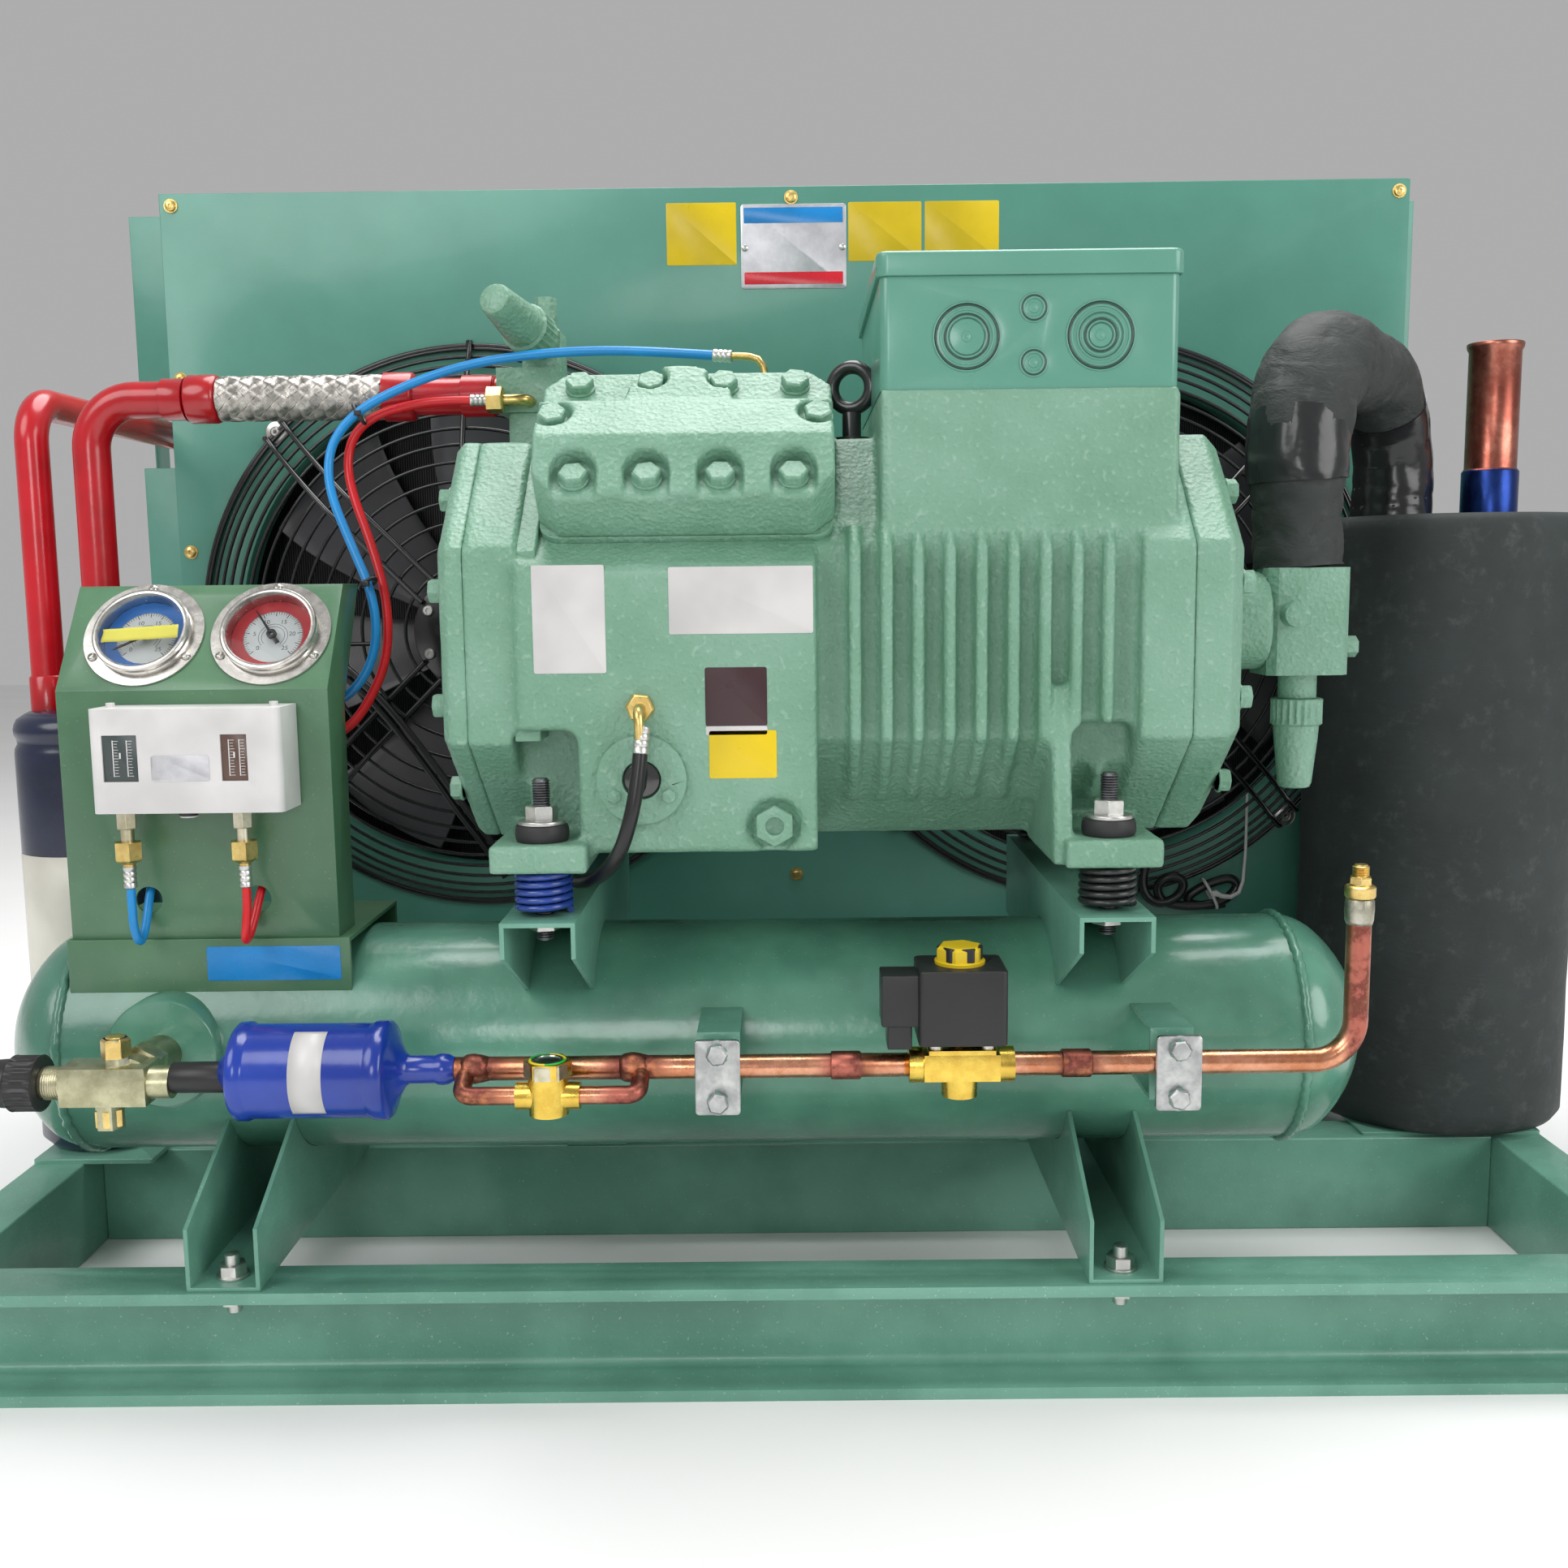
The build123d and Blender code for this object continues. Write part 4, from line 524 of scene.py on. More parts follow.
def turnedShape(start, direction, outline, sides, turn=0.0, hollow=False, flutes=None):
    shape = bmesh.new()
    matrix = frameAt(start, direction)
    rings = []
    for along, radius in outline:  # the outline runs along the axis and out from it
        ring = []
        for angle in around(sides, turn):
            reach = radius
            if flutes and flutes["low"] <= along <= flutes["high"]:
                wave = 0.5 + 0.5 * math.cos(angle * flutes["count"])
                reach -= flutes["depth"] * wave ** 0.6
            point = Vector((math.cos(angle) * reach, math.sin(angle) * reach, along))
            ring.append(shape.verts.new(matrix @ (point * millimetre)))
        rings.append(ring)
    if hollow:
        rings.append(rings[0])
    for low, high in zip(rings, rings[1:]):
        bridge(shape, low, high)
    if outline[0][1] > 0.01 and not hollow:
        shape.faces.new(list(reversed(rings[0])))
    if outline[-1][1] > 0.01 and not hollow:
        shape.faces.new(rings[-1])
    return shape


def lathe(name, start, direction, outline, finish, sides=64, smooth=40, hollow=False,
          flutes=None):
    shape = turnedShape(start, direction, outline, sides, 0.0, hollow, flutes)
    bmesh.ops.remove_doubles(shape, verts=shape.verts, dist=0.000005)
    return fromBmesh(name, shape, finish, smooth)


def hexBar(name, start, direction, across, length, finish, turn=0.0, chamfer=0.6):
    radius = across / math.sqrt(3)
    outline = ((0, radius), (length - chamfer, radius), (length, radius - chamfer))
    shape = turnedShape(start, direction, outline, 6, turn)
    bmesh.ops.bevel(shape, geom=shape.edges[:], offset=0.25 * millimetre, segments=2,
                    affect="EDGES", clamp_overlap=True)
    return fromBmesh(name, shape, finish)


def tubeMesh(name, points, radius, finish, sides=16, closed=False):  # points in metres
    shape = bmesh.new()
    count = len(points)
    across = None
    rings = []
    for i, point in enumerate(points):
        ahead = points[(i + 1) % count] if closed or i < count - 1 else points[i]
        behind = points[i - 1] if closed or i > 0 else points[i]
        along = (ahead - behind).normalized()
        if across is None:
            across = along.orthogonal().normalized()
        across = (across - along * across.dot(along)).normalized()
        other = along.cross(across)
        reach = radius(i / (count - 1)) if callable(radius) else radius
        rings.append([shape.verts.new(
            point + (across * math.cos(a) + other * math.sin(a)) * reach * millimetre)
            for a in around(sides)])
    for low, high in zip(rings, rings[1:]):
        bridge(shape, low, high)
    if closed:  # the last ring meets the first where their vertices are nearest
        low, high = rings[-1], rings[0]
        shift = min(range(sides), key=lambda k: (low[0].co - high[k].co).length)
        bridge(shape, low, high, True, shift)
    else:
        closeEnds(shape, rings[0], rings[-1])
    return fromBmesh(name, shape, finish, 50)


def plate(name, centre, width, height, thick, finish, normal=forward, up=upward, corner=2.0,
          bevel=0.15):
    z = Vector(normal).normalized()
    y = (Vector(up) - z * Vector(up).dot(z)).normalized()
    x = y.cross(z)
    outline = []
    for cornerX, cornerY, start in ((1, 1, 0), (-1, 1, 90), (-1, -1, 180), (1, -1, 270)):
        for step in range(7):
            angle = math.radians(start + step * 15)
            outline.append((cornerX * (width / 2 - corner) + corner * math.cos(angle),
                            cornerY * (height / 2 - corner) + corner * math.sin(angle)))
    shape = bmesh.new()
    rings = []
    for lift, inset in ((0, 0), (thick - bevel, 0), (thick, bevel)):
        scaleX, scaleY = 1 - 2 * inset / width, 1 - 2 * inset / height
        rings.append([shape.verts.new(
            Vector(centre) + (x * a * scaleX + y * b * scaleY + z * lift) * millimetre)
            for a, b in outline])
    for low, high in zip(rings, rings[1:]):
        bridge(shape, low, high)
    closeEnds(shape, rings[0], rings[-1])
    return fromBmesh(name, shape, finish)


def circle(x, y, z, radius, count):  # a ring that faces the front
    return [at(x + radius * math.cos(a), y, z + radius * math.sin(a)) for a in around(count)]


def arcPoints(corners, bend, steps=12):  # rounds the corners of a run
    points = [Vector(corners[0])]
    for before, here, after in zip(corners, corners[1:], corners[2:]):
        here = Vector(here)
        inward = (Vector(before) - here).normalized()
        outward = (Vector(after) - here).normalized()
        half = inward.angle(outward) / 2
        reach = bend / math.tan(half)
        centre = here + (inward + outward).normalized() * (bend / math.sin(half))
        start = here + inward * reach - centre
        end = here + outward * reach - centre
        sweep = start.angle(end)
        for k in range(steps + 1):
            turned = k / steps * sweep
            point = (start * math.sin(sweep - turned) + end * math.sin(turned)) / math.sin(sweep)
            points.append(centre + point)
    points.append(Vector(corners[-1]))
    return [at(*point) for point in points]


def threadOutline(length, radius, pitch):
    outline = [(0, radius - 1)]
    along = 0.4
    while along + pitch < length:
        crest = (along + pitch * 0.4, radius), (along + pitch * 0.6, radius)
        outline += [(along, radius - 0.9), *crest]
        along += pitch
    return outline + [(length - 1, radius - 0.9), (length, radius - 1.6)]


def makeCord(name, route, radius, length, finish, stiffness, lay, resolution=14, **seat):
    points = [at(*point) for point in route]
    data = bpy.data.curves.new(name, "CURVE")
    data.dimensions = "3D"
    data.bevel_depth = radius * millimetre
    data.bevel_resolution = 7
    data.resolution_u = resolution
    data.use_fill_caps = True
    spline = data.splines.new("NURBS")
    spline.points.add(len(points) - 1)
    for place, point in zip(spline.points, points):
        place.co = (*point, 1)
    spline.order_u = 3
    spline.use_endpoint_u = True
    data.materials.append(finishes[finish])
    cord = link(bpy.data.objects.new(name, data))
    settle(cord, **seat)
    tuple(points[0])


# along the axis and out from it; each ends in the slot or the cross of its head
screwHeads = {
    "pan": [(0, 6.4), (0.8, 6.4), (0.8, 5.2), (2.4, 4.6), (3.2, 3), (3.2, 1.6), (2.0, 1.4),
            (2.0, 0.1)],
    "guard": [(0, 5.4), (1, 5.4), (2.6, 4.2), (2.6, 2), (1.2, 1.6), (1.2, 0.1)],
    "clip": [(0, 5.6), (2.4, 5.2), (4, 3.6), (4, 1.8), (2.6, 1.5), (2.6, 0.1)],
    "gauge": [(1.5, 3.3), (2.4, 3.3), (3.5, 2.4), (3.8, 1.4), (3.0, 1.2), (3.0, 0.1)],
    "valve": [(0, 4.4), (3, 4.4), (4, 3.4), (4, 2), (2.6, 1.8), (2.6, 0.1)],
    "switch": [(0, 2.6), (0.7, 2.6), (1.4, 1.6), (1.5, 0.1)],
    "rivet": [(0, 3.2), (0.8, 3), (1.5, 1.8), (1.7, 0.1)],
}


def screw(name, place, direction, kind, finish="zincPlate", sides=24):
    return lathe(name, place, direction, screwHeads[kind], finish, sides)


print("tools ready")


# ---- hoses: they come before the pieces
hoseRoutes = {
    "low": [
        (-450, 150, 462), (-426, 150, 462), (-391, 158, 458), (-352, 166, 459), (-325, 172, 474),
        (-311, 180, 504), (-316, 196, 543), (-335, 210, 582), (-354, 222, 624), (-355, 229, 655),
        (-341, 230, 677), (-317, 228, 693), (-275, 222, 709), (-232, 210, 718), (-186, 194, 721),
        (-138, 174, 720), (-92, 158, 716), (-53, 150, 712)],
    "high": [
        (-359, 150, 440), (-345, 150, 440), (-329, 157, 446), (-317, 172, 464), (-306, 190, 496),
        (-308, 206, 538), (-322, 220, 582), (-340, 233, 625), (-344, 240, 652), (-336, 242, 672),
        (-318, 241, 684), (-292, 238, 690), (-267, 230, 692), (-244, 230, 692)],
    "lowLoop": [
        (-464, 78, 343), (-464, 78, 329), (-463, 76, 315), (-461, 78, 304), (-461, 86, 305),
        (-461, 94, 317), (-462, 102, 330), (-463, 116, 348), (-463, 136, 376), (-463, 150, 408),
        (-463, 150, 450)],
    "highLoop": [
        (-383, 78, 343), (-383, 78, 329), (-384, 76, 315), (-386, 78, 304), (-386, 86, 305),
        (-384, 94, 317), (-383, 102, 330), (-381, 116, 348), (-376, 136, 368), (-372, 150, 396),
        (-372, 150, 428)],
    "oil": [
        (-99, 18, 440), (-101, 14, 420), (-106, 12, 396), (-114, 18, 374), (-128, 36, 356),
        (-146, 62, 346), (-162, 92, 344)],
}
hoseSettings = {  # radius, length in metres, finish, node
    "low": (3.5, 0.664, "hoseBlue", "hoses_low"),
    "high": (3.5, 0.383, "hoseRed", "hoses_high"),
    "lowLoop": (3.0, 0.209, "hoseBlue", "hoses_low"),
    "highLoop": (3.0, 0.190, "hoseRed", "hoses_high"),
    "oil": (5.0, 0.164, "hoseBlack", "oil_hose"),
}
for name, (radius, length, finish, node) in hoseSettings.items():
    makeCord(name + "Hose", hoseRoutes[name], radius, length, finish, "medium", "hanging", 16,
             node=node)
print("hoses made")


# ---- base, receiver and folded supports
baseSkins = {
    "front_beam": ("front_beamSkin", "frameEnamel", 1.6, 3),
    "rear_beam": ("rear_beamSkin", "frameEnamel", 1.6, 3),
    "side_beams": ("side_beamsSkin", "frameEnamel", 1.6, 3),
    "cross_beam": ("cross_beamSkin", "frameEnamel", 1.6, 3),
    "receiver_saddles": ("receiver_saddlesSkin", "frameEnamel", 0.9, 3),
    "spring_brackets": ("spring_bracketsSkin", "frameEnamel", 0.9, 3),
    "bracket_legs": ("bracket_legsSkin", "frameEnamel", 0.9, 3),
    "saddle_bolts": ("saddleBoltSkin", "zincPlate", 0.5, 2),
}
tankSettings = {"left": -527, "right": 365, "middleY": 164, "middleZ": 212, "radius": 84,
                "head": 60, "knuckle": 40, "bead": 3.4, "seam": 2.2, "seamY": 76, "seamZ": 36,
                "pad": (-448, 74, 224), "padOutline": [(0, 38), (2, 40), (24, 40)]}


def headOutline():  # a dished head, from its tip out to the shell
    s = tankSettings
    rise = s["radius"] - s["knuckle"]
    crown = (s["head"] ** 2 + rise ** 2 - s["knuckle"] ** 2) / (2 * (s["head"] - s["knuckle"]))
    limit = math.atan2(rise, crown - s["head"])
    head = []
    for i in range(13):
        angle = limit * i / 12
        head.append((s["head"] - crown + crown * math.cos(angle), crown * math.sin(angle)))
    for i in range(1, 11):
        angle = limit + (math.pi / 2 - limit) * i / 10
        head.append((s["knuckle"] * math.cos(angle), rise + s["knuckle"] * math.sin(angle)))
    return head


def tankBead(x):  # an uneven weld around the shell
    s = tankSettings
    points = []
    for i, angle in enumerate(around(240)):
        wobble = 1.1 * jitter(x, i * 0.35, 0)
        reach = s["radius"] + 0.2 + 0.5 * jitter(i * 0.21, x, 3)
        points.append(at(x + wobble, s["middleY"] + reach * math.cos(angle),
                         s["middleZ"] + reach * math.sin(angle)))
    bead = tubeMesh("tankBead", points, s["bead"], "tankEnamel", 10, True)
    middle = at(x, s["middleY"], s["middleZ"])
    for vertex in bead.data.vertices:
        angle = math.atan2(vertex.co.z - middle.z, vertex.co.y - middle.y)
        vertex.co.x += 0.0004 * math.cos(angle * 62 + 2 * noise.noise(vertex.co * 20))
    return bead


def makeTank():
    s = tankSettings
    head = headOutline()
    length = s["right"] - s["left"]
    outline = [(-along, radius) for along, radius in head]
    outline += [(length * i / 12, s["radius"]) for i in range(1, 12)]
    outline += [(length + along, radius) for along, radius in reversed(head)]
    start = at(s["left"], s["middleY"], s["middleZ"])
    seam = [at(s["left"] + length * i / 40, s["middleY"] + s["seamY"], s["middleZ"] + s["seamZ"])
            for i in range(41)]
    tank = join("tank", [
        lathe("tankShell", start, rightward, outline, "tankEnamel", 160),
        tankBead(s["left"]),
        tankBead(s["right"]),
        tubeMesh("tankSeam", seam, s["seam"], "tankEnamel", 8),
        lathe("tankPad", at(*s["pad"]), backward, s["padOutline"], "tankEnamel", 72)])
    smoothBy(tank, 45)
    settle(tank, "receiver")


makeSkins(baseSkins)
makeTank()
print("base made")


# ---- compressor
compressorSettings = {"middleX": 22, "middleY": 182, "halfFootX": 190.5, "halfFootY": 140,
                      "bracketTop": 330, "footTop": 379.2}
springSettings = {
    "turns": 5, "steps": 26, "radius": 17.7, "wire": 2.3, "rise": 26.2,
    "rubber": [(0, 15.5), (0.8, 17.2), (3, 18), (6, 18.2), (9, 18), (11.2, 17.2), (12, 15.5)],
    "washer": [(0, 15.8), (0.3, 16), (2.2, 16), (2.5, 15.8)],
    "studBelow": 18, "studLength": 110, "studRadius": 6, "pitch": 1.75, "nut": 19,
    "nutHeight": 10, "lowNutBelow": 11, "lowNutHeight": 8}


def corners():  # the compressor's four feet
    s = compressorSettings
    for side in (-1, 1):
        for row in (-1, 1):
            yield s["middleX"] + side * s["halfFootX"], s["middleY"] + row * s["halfFootY"]


def makeSprings():
    s = {**compressorSettings, **springSettings}
    coils = {"springEnamel": [], "blackEnamel": []}
    rubbers, studs, nuts = [], [], []
    count = s["turns"] * s["steps"]
    top = s["footTop"] + s["rubber"][-1][0]
    for x, y in corners():
        points = []
        for i in range(count + 1):
            angle = 2 * math.pi * i / s["steps"]
            points.append(at(x + s["radius"] * math.cos(angle), y + s["radius"] * math.sin(angle),
                             s["bracketTop"] + s["wire"] + 0.2 + s["rise"] * i / count))
        finish = "springEnamel" if x < s["middleX"] else "blackEnamel"
        coils[finish].append(tubeMesh("spring", points, s["wire"], finish, 12))
        rubbers.append(lathe("rubber", at(x, y, s["footTop"]), upward, s["rubber"],
                             "blackRubber", 48))
        thread = threadOutline(s["studLength"], s["studRadius"], s["pitch"])
        studs.append(lathe("stud", at(x, y, s["bracketTop"] - s["studBelow"]), upward, thread,
                           "darkSteel", 28, 20))
        nuts.append(lathe("washer", at(x, y, top), upward, s["washer"], "zincPlate", 48))
        nuts.append(hexBar("nut", at(x, y, top + s["washer"][-1][0]), upward, s["nut"],
                           s["nutHeight"], "zincPlate", 0.3))
        nuts.append(hexBar("nut", at(x, y, s["bracketTop"] - s["lowNutBelow"]), upward,
                           s["nut"], s["lowNutHeight"], "zincPlate", 0.2))
    settle(join("springsLeft", coils["springEnamel"]), "mount_springs")
    settle(join("springsRight", coils["blackEnamel"]), "mount_springs")
    settle(join("rubberRings", rubbers), "rubber_rings")
    settle(join("studThreads", studs), "spring_studs")
    settle(join("studNuts", nuts), "spring_studs")


boltSettings = {"coverFace": 15, "headFace": 17, "leftCover": -230, "rightCover": 300,
                "sink": 4.5, "height": 8.9, "washer": 2.2, "eyeHeight": 645, "eyeReach": 20,
                "eyeX": 47, "eyeTurn": 68}


def isEye(place):  # the lifting eye shares its node with the bolts
    s = boltSettings
    aside = abs(place.y - compressorSettings["middleY"])
    return aside < s["eyeReach"] and place.z > s["eyeHeight"]


def makeBolts():
    s = boltSettings
    middleY = compressorSettings["middleY"]
    heads = []
    shape = nodeShape("compressor_bolts")
    for island, centre in looseParts(shape):
        place = fromBase(centre)
        if isEye(place):
            continue
        axis, across = Vector((0, math.copysign(1, place.y - middleY), 1)), s["headFace"]
        if place.x < s["leftCover"] or place.x > s["rightCover"]:
            axis, across = Vector((math.copysign(1, place.x), 0, 0)), s["coverFace"]
        axis.normalize()
        seat = centre - axis * s["sink"] * millimetre
        flange = [(0, across * 0.57), (0.5, across * 0.6), (s["washer"] - 0.4, across * 0.6),
                  (s["washer"], across * 0.56)]
        heads.append(lathe("boltFlange", seat, axis, flange, "castEnamel", 32))
        heads.append(hexBar("boltHead", seat, axis, across, s["height"], "castEnamel",
                            noise.noise(centre * 31) * 3, 1.1))
    shape.free()
    settle(join("coverBolts", heads), "compressor_bolts")
    eye = bevelled("liftingEye", "compressor_bolts", "blackEnamel", 0.4, 2, wanted=isEye)
    pivot = Matrix.Translation(at(s["eyeX"], middleY, 0))
    turn = Matrix.Rotation(math.radians(s["eyeTurn"]), 4, "Z")
    eye.data.transform(pivot @ turn @ pivot.inverted())
    settle(eye, "compressor_bolts", slot="black_plastic")


capOutline = [(0, 17.8), (0.8, 19), (19, 19), (20, 18), (20.4, 16.6), (30, 16), (47, 14.2),
              (64, 12.5), (67, 11.2), (68, 9)]
capFlutes = {"count": 22, "depth": 1.5, "low": 1.5, "high": 18.5}
caps = {  # seat, axis, how far it stands off, body, finish
    "discharge_cap": ((-190, 250, 736), (-0.3, -0.9, 0.28), 12.3, "discharge_stem_cap",
                      "castEnamel"),
    "suction_cap": ((382, 182, 460), downward, 0.3, "suction_stem_cap", "castEnamel"),
    "receiver_cap": ((-505, 18, 222), leftward, 0.3, "receiver_stem_cap", "blackMoulding"),
}


def makeCaps():
    dense = []
    for (a, ra), (b, rb) in zip(capOutline, capOutline[1:]):
        steps = max(1, int((b - a) / 3))
        dense += [(a + (b - a) * k / steps, ra + (rb - ra) * k / steps) for k in range(steps)]
    dense.append(capOutline[-1])
    for node, (base, axis, stand, body, finish) in caps.items():
        start = at(*base) + Vector(axis).normalized() * stand * millimetre
        cap = lathe(node + "Skin", start, axis, dense, finish, 144, 30, flutes=capFlutes)
        settle(cap, node, body)


castings = {  # size of a voxel, rounds of smoothing, swelling
    "crankcase": (2.7, 3, 0.5),
    "bearing_cover": (2.0, 3, 0.35),
    "motor_cover": (2.0, 3, 0.35),
    "cylinder_head_front": (1.8, 4, 0.35),
    "cylinder_head_rear": (1.8, 4, 0.35),
}
compressorSkins = {
    "valve_plates": ("valvePlateSkin", "castEnamel", 0.8, 2),
    "terminal_box": ("terminalBoxSkin", "boxEnamel", 1.2, 3),
    "terminal_lid": ("terminalLidSkin", "boxEnamel", 1.0, 3),
    "oil_fittings": ("oilFittingSkin", "castEnamel", 0.7, 2),
    "discharge_valve": ("dischargeValveSkin", "castEnamel", 1.6, 3),
    "suction_valve": ("suctionValveSkin", "castEnamel", 1.6, 3),
}
windowSettings = {"place": (-100, 36, 421),
                  "outline": [(0, 12.6), (1.4, 12.2), (2.2, 10.5), (2.6, 6), (2.7, 0.1)]}
shoulderSettings = {"x": (-186, -168.5), "bevel": 1.2, "outline": [
    (47.5, 446), (47.5, 572), (128, 646), (236, 646), (316.5, 572), (316.5, 446)]}


def makeCompressor():
    for node, (voxel, rounds, swell) in castings.items():
        settle(cast(node + "Skin", node, "castEnamel", voxel, rounds, swell), node)
    makeSkins(compressorSkins)
    s = windowSettings
    window = lathe("oilWindow", at(*s["place"]), forward, s["outline"], "darkGlass", 48)
    settle(window, slot="nickel")


def makeShoulder():  # the step behind the bearing cover
    s = shoulderSettings
    shape = bmesh.new()
    left, right = [[shape.verts.new(at(x, y, z)) for y, z in s["outline"]] for x in s["x"]]
    bridge(shape, left, right)
    closeEnds(shape, left, right)
    shoulder = fromBmesh("shoulder", shape, "castEnamel")
    addModifier(shoulder, "BEVEL", width=s["bevel"] * millimetre, segments=3)
    settle(applyModifiers(shoulder), slot="compressor_paint")


boxFront = 60  # the terminal box's face
knockOuts = (  # x, z and the radii of the rings
    (118, 709, (22, 17.5, 13)), (206, 709, (22.5, 19, 15.5, 12.5, 9)),
    (162, 727, (9, 6.6)), (162, 692, (9, 6.6)))
dimple = [(0, 3.6), (0.5, 3.2), (0.7, 2.2), (0.3, 1.2), (0.2, 0.1)]


def ringBead(x, y, z, radius, thick, finish):
    return tubeMesh("ringBead", circle(x, y, z, radius, 72), thick, finish, 10, True)


def makeTerminalTrims():
    rings, grooveShades = [], []
    for x, z, radii in knockOuts:
        for k, radius in enumerate(radii):
            rings.append(ringBead(x, boxFront - 0.1, z, radius, 0.75 if k % 2 else 0.6,
                                  "boxEnamel"))
        rings.append(lathe("dimple", at(x, boxFront, z), forward, dimple, "boxEnamel", 32))
        # dark rings half sunk in the face: painted shade in the knock-outs' grooves, not a paint of
        # their own
        for radius in (radii[0] - 1.6, radii[-1] + 1.5):
            grooveShades.append(ringBead(x, boxFront + 0.45, z, radius, 0.9, "darkEnamel"))
    settle(join("boxRings", rings), slot="box_green")
    settle(join("boxGrooveShades", grooveShades), slot="box_green")


makeSprings()
makeBolts()
makeCaps()
makeCompressor()
makeShoulder()
makeTerminalTrims()
print("compressor made")


# ---- condenser, guards and fans
fanSettings = {"z": 509, "panelY": 504, "tip": 222, "hub": 68, "blades": 7,
               "chord": (58, 142), "pitch": (38, 16), "sweep": 0.10, "camber": 5,
               "thick": 2.2, "middle": 36, "nearest": 10, "farthest": 62, "hubAt": 9.2,
               "hubOutline": [(0, 9), (0, 62), (3, 67), (6, 67.8), (50, 67.8), (53, 66),
                              (53.8, 62), (53.8, 20)]}
fans = {"fan_left": (-295, "fan_left_wheel", "leftGuard"),  # x, body, guard
        "fan_right": (291, "fan_right_wheel", "rightGuard")}
guardSettings = {
    "rings": (262, 254, 245, 235, 224, 212, 199, 185, 170, 154, 137, 119, 100, 80, 60),
    "wire": 1.7, "strut": 2.6, "rim": 265, "spread": 11, "flatTo": 150, "stand": 60,
    "strutFrom": 50, "strutTo": 264, "hookFrom": 100, "hookTo": 260,
    "tieFrom": -150, "tieTo": -90, "tieWire": 2.0, "plateAt": 0.2, "motorAt": 4,
    "plate": [(0, 12), (0, 51), (0.6, 52), (3.4, 52), (4, 51)],
    "motor": [(0, 44), (1.5, 46), (14, 46), (16, 44), (18, 46), (40, 46), (58, 46), (60, 44)],
    "clipWasher": [(0, 10), (1.6, 10), (2, 9.4)], "clipAt": 266, "screwAt": 43, "screwTurn": 0.3}
condenserSkins = {
    "fan_panel": ("fanPanelSkin", "sheetEnamel", 0.7, 2),
    "condenser_case": ("condenserCaseSkin", "sheetEnamel", 0.7, 2),
}
panelScrews = ((-571, 904), (5, 905), (568, 904), (-571, 747), (-571, 586), (-571, 300),
               (568, 747), (568, 300), (4, 268))


def guardDepth(radius):  # how far back a guard wire lies
    s = guardSettings
    rise = max(0.0, radius - s["flatTo"]) / 116
    return fanSettings["panelY"] - s["stand"] + 56 * rise ** 1.6


def between(first, last, count):  # evenly spaced numbers, both ends included
    return [first + (last - first) * k / (count - 1) for k in range(count)]


def wireRun(first, last, count, lift):  # radius and depth of a wire that lies on the rings
    return [(radius, guardDepth(radius) - lift) for radius in between(first, last, count)]


def spoke(x, angle, offset, run, radius):  # a guard wire that runs outwards
    z = fanSettings["z"]
    path = [at(x + r * math.cos(angle) - offset * math.sin(angle), y,
               z + r * math.sin(angle) + offset * math.cos(angle)) for r, y in run]
    return tubeMesh("strut", path, radius, "guardBlack", 10)


def makeGuard(x, name):
    s, z, panelY = guardSettings, fanSettings["z"], fanSettings["panelY"]
    wires = []
    for radius in s["rings"]:
        ring = circle(x, guardDepth(radius) + 1.6, z, radius, 112)
        wires.append(tubeMesh("ring", ring, s["wire"], "guardBlack", 8, True))
    rim = circle(x, panelY - 3, z, s["rim"], 128)
    wires.append(tubeMesh("rim", rim, s["strut"], "guardBlack", 8, True))
    run = wireRun(s["strutFrom"], s["strutTo"], 15, 1.8)
    run += [(267.5, panelY - 9), (268.5, panelY - 1)]
    diagonals = [math.radians(45 + 90 * quarter) for quarter in range(4)]
    for angle in diagonals:
        for offset in (-s["spread"], s["spread"]):
            wires.append(spoke(x, angle, offset, run, s["strut"]))
    hook = wireRun(s["hookFrom"], s["hookTo"], 10, 3)
    hook += [(267, panelY - 14), (268, panelY - 5)]
    wires.append(spoke(x - 1, math.pi / 2, 0, hook, s["strut"]))
    depth = guardDepth(s["flatTo"]) - 2
    tie = [at(x + along, depth, z - 10) for along in between(s["tieFrom"], s["tieTo"], 9)]
    wires.append(tubeMesh("tie", tie, s["tieWire"], "guardBlack", 8))
    settle(join(name + "Wires", wires), "fan_guards")
    front = guardDepth(0)
    motor = [
        lathe("motorPlate", at(x, front + s["plateAt"], z), backward, s["plate"],
              "guardBlack", 72),
        lathe("motorBody", at(x, front + s["motorAt"], z), backward, s["motor"],
              "motorBlack", 72)]
    settle(join(name + "Motor", motor), "fan_guards")
    screws = []
    for angle in diagonals:
        for turn in (angle - s["screwTurn"], angle + s["screwTurn"]):
            place = at(x + s["screwAt"] * math.cos(turn), front + 0.1,
                       z + s["screwAt"] * math.sin(turn))
            screws.append(screw("guardScrew", place, forward, "guard"))
        place = at(x + s["clipAt"] * math.cos(angle), panelY - 0.2,
                   z + s["clipAt"] * math.sin(angle))
        screws.append(lathe("clipWasher", place, forward, s["clipWasher"], "zincPlate", 32))
        screws.append(screw("clipScrew", place + Vector((0, -0.002, 0)), forward, "clip"))
    settle(join(name + "Screws", screws), slot="zinc")


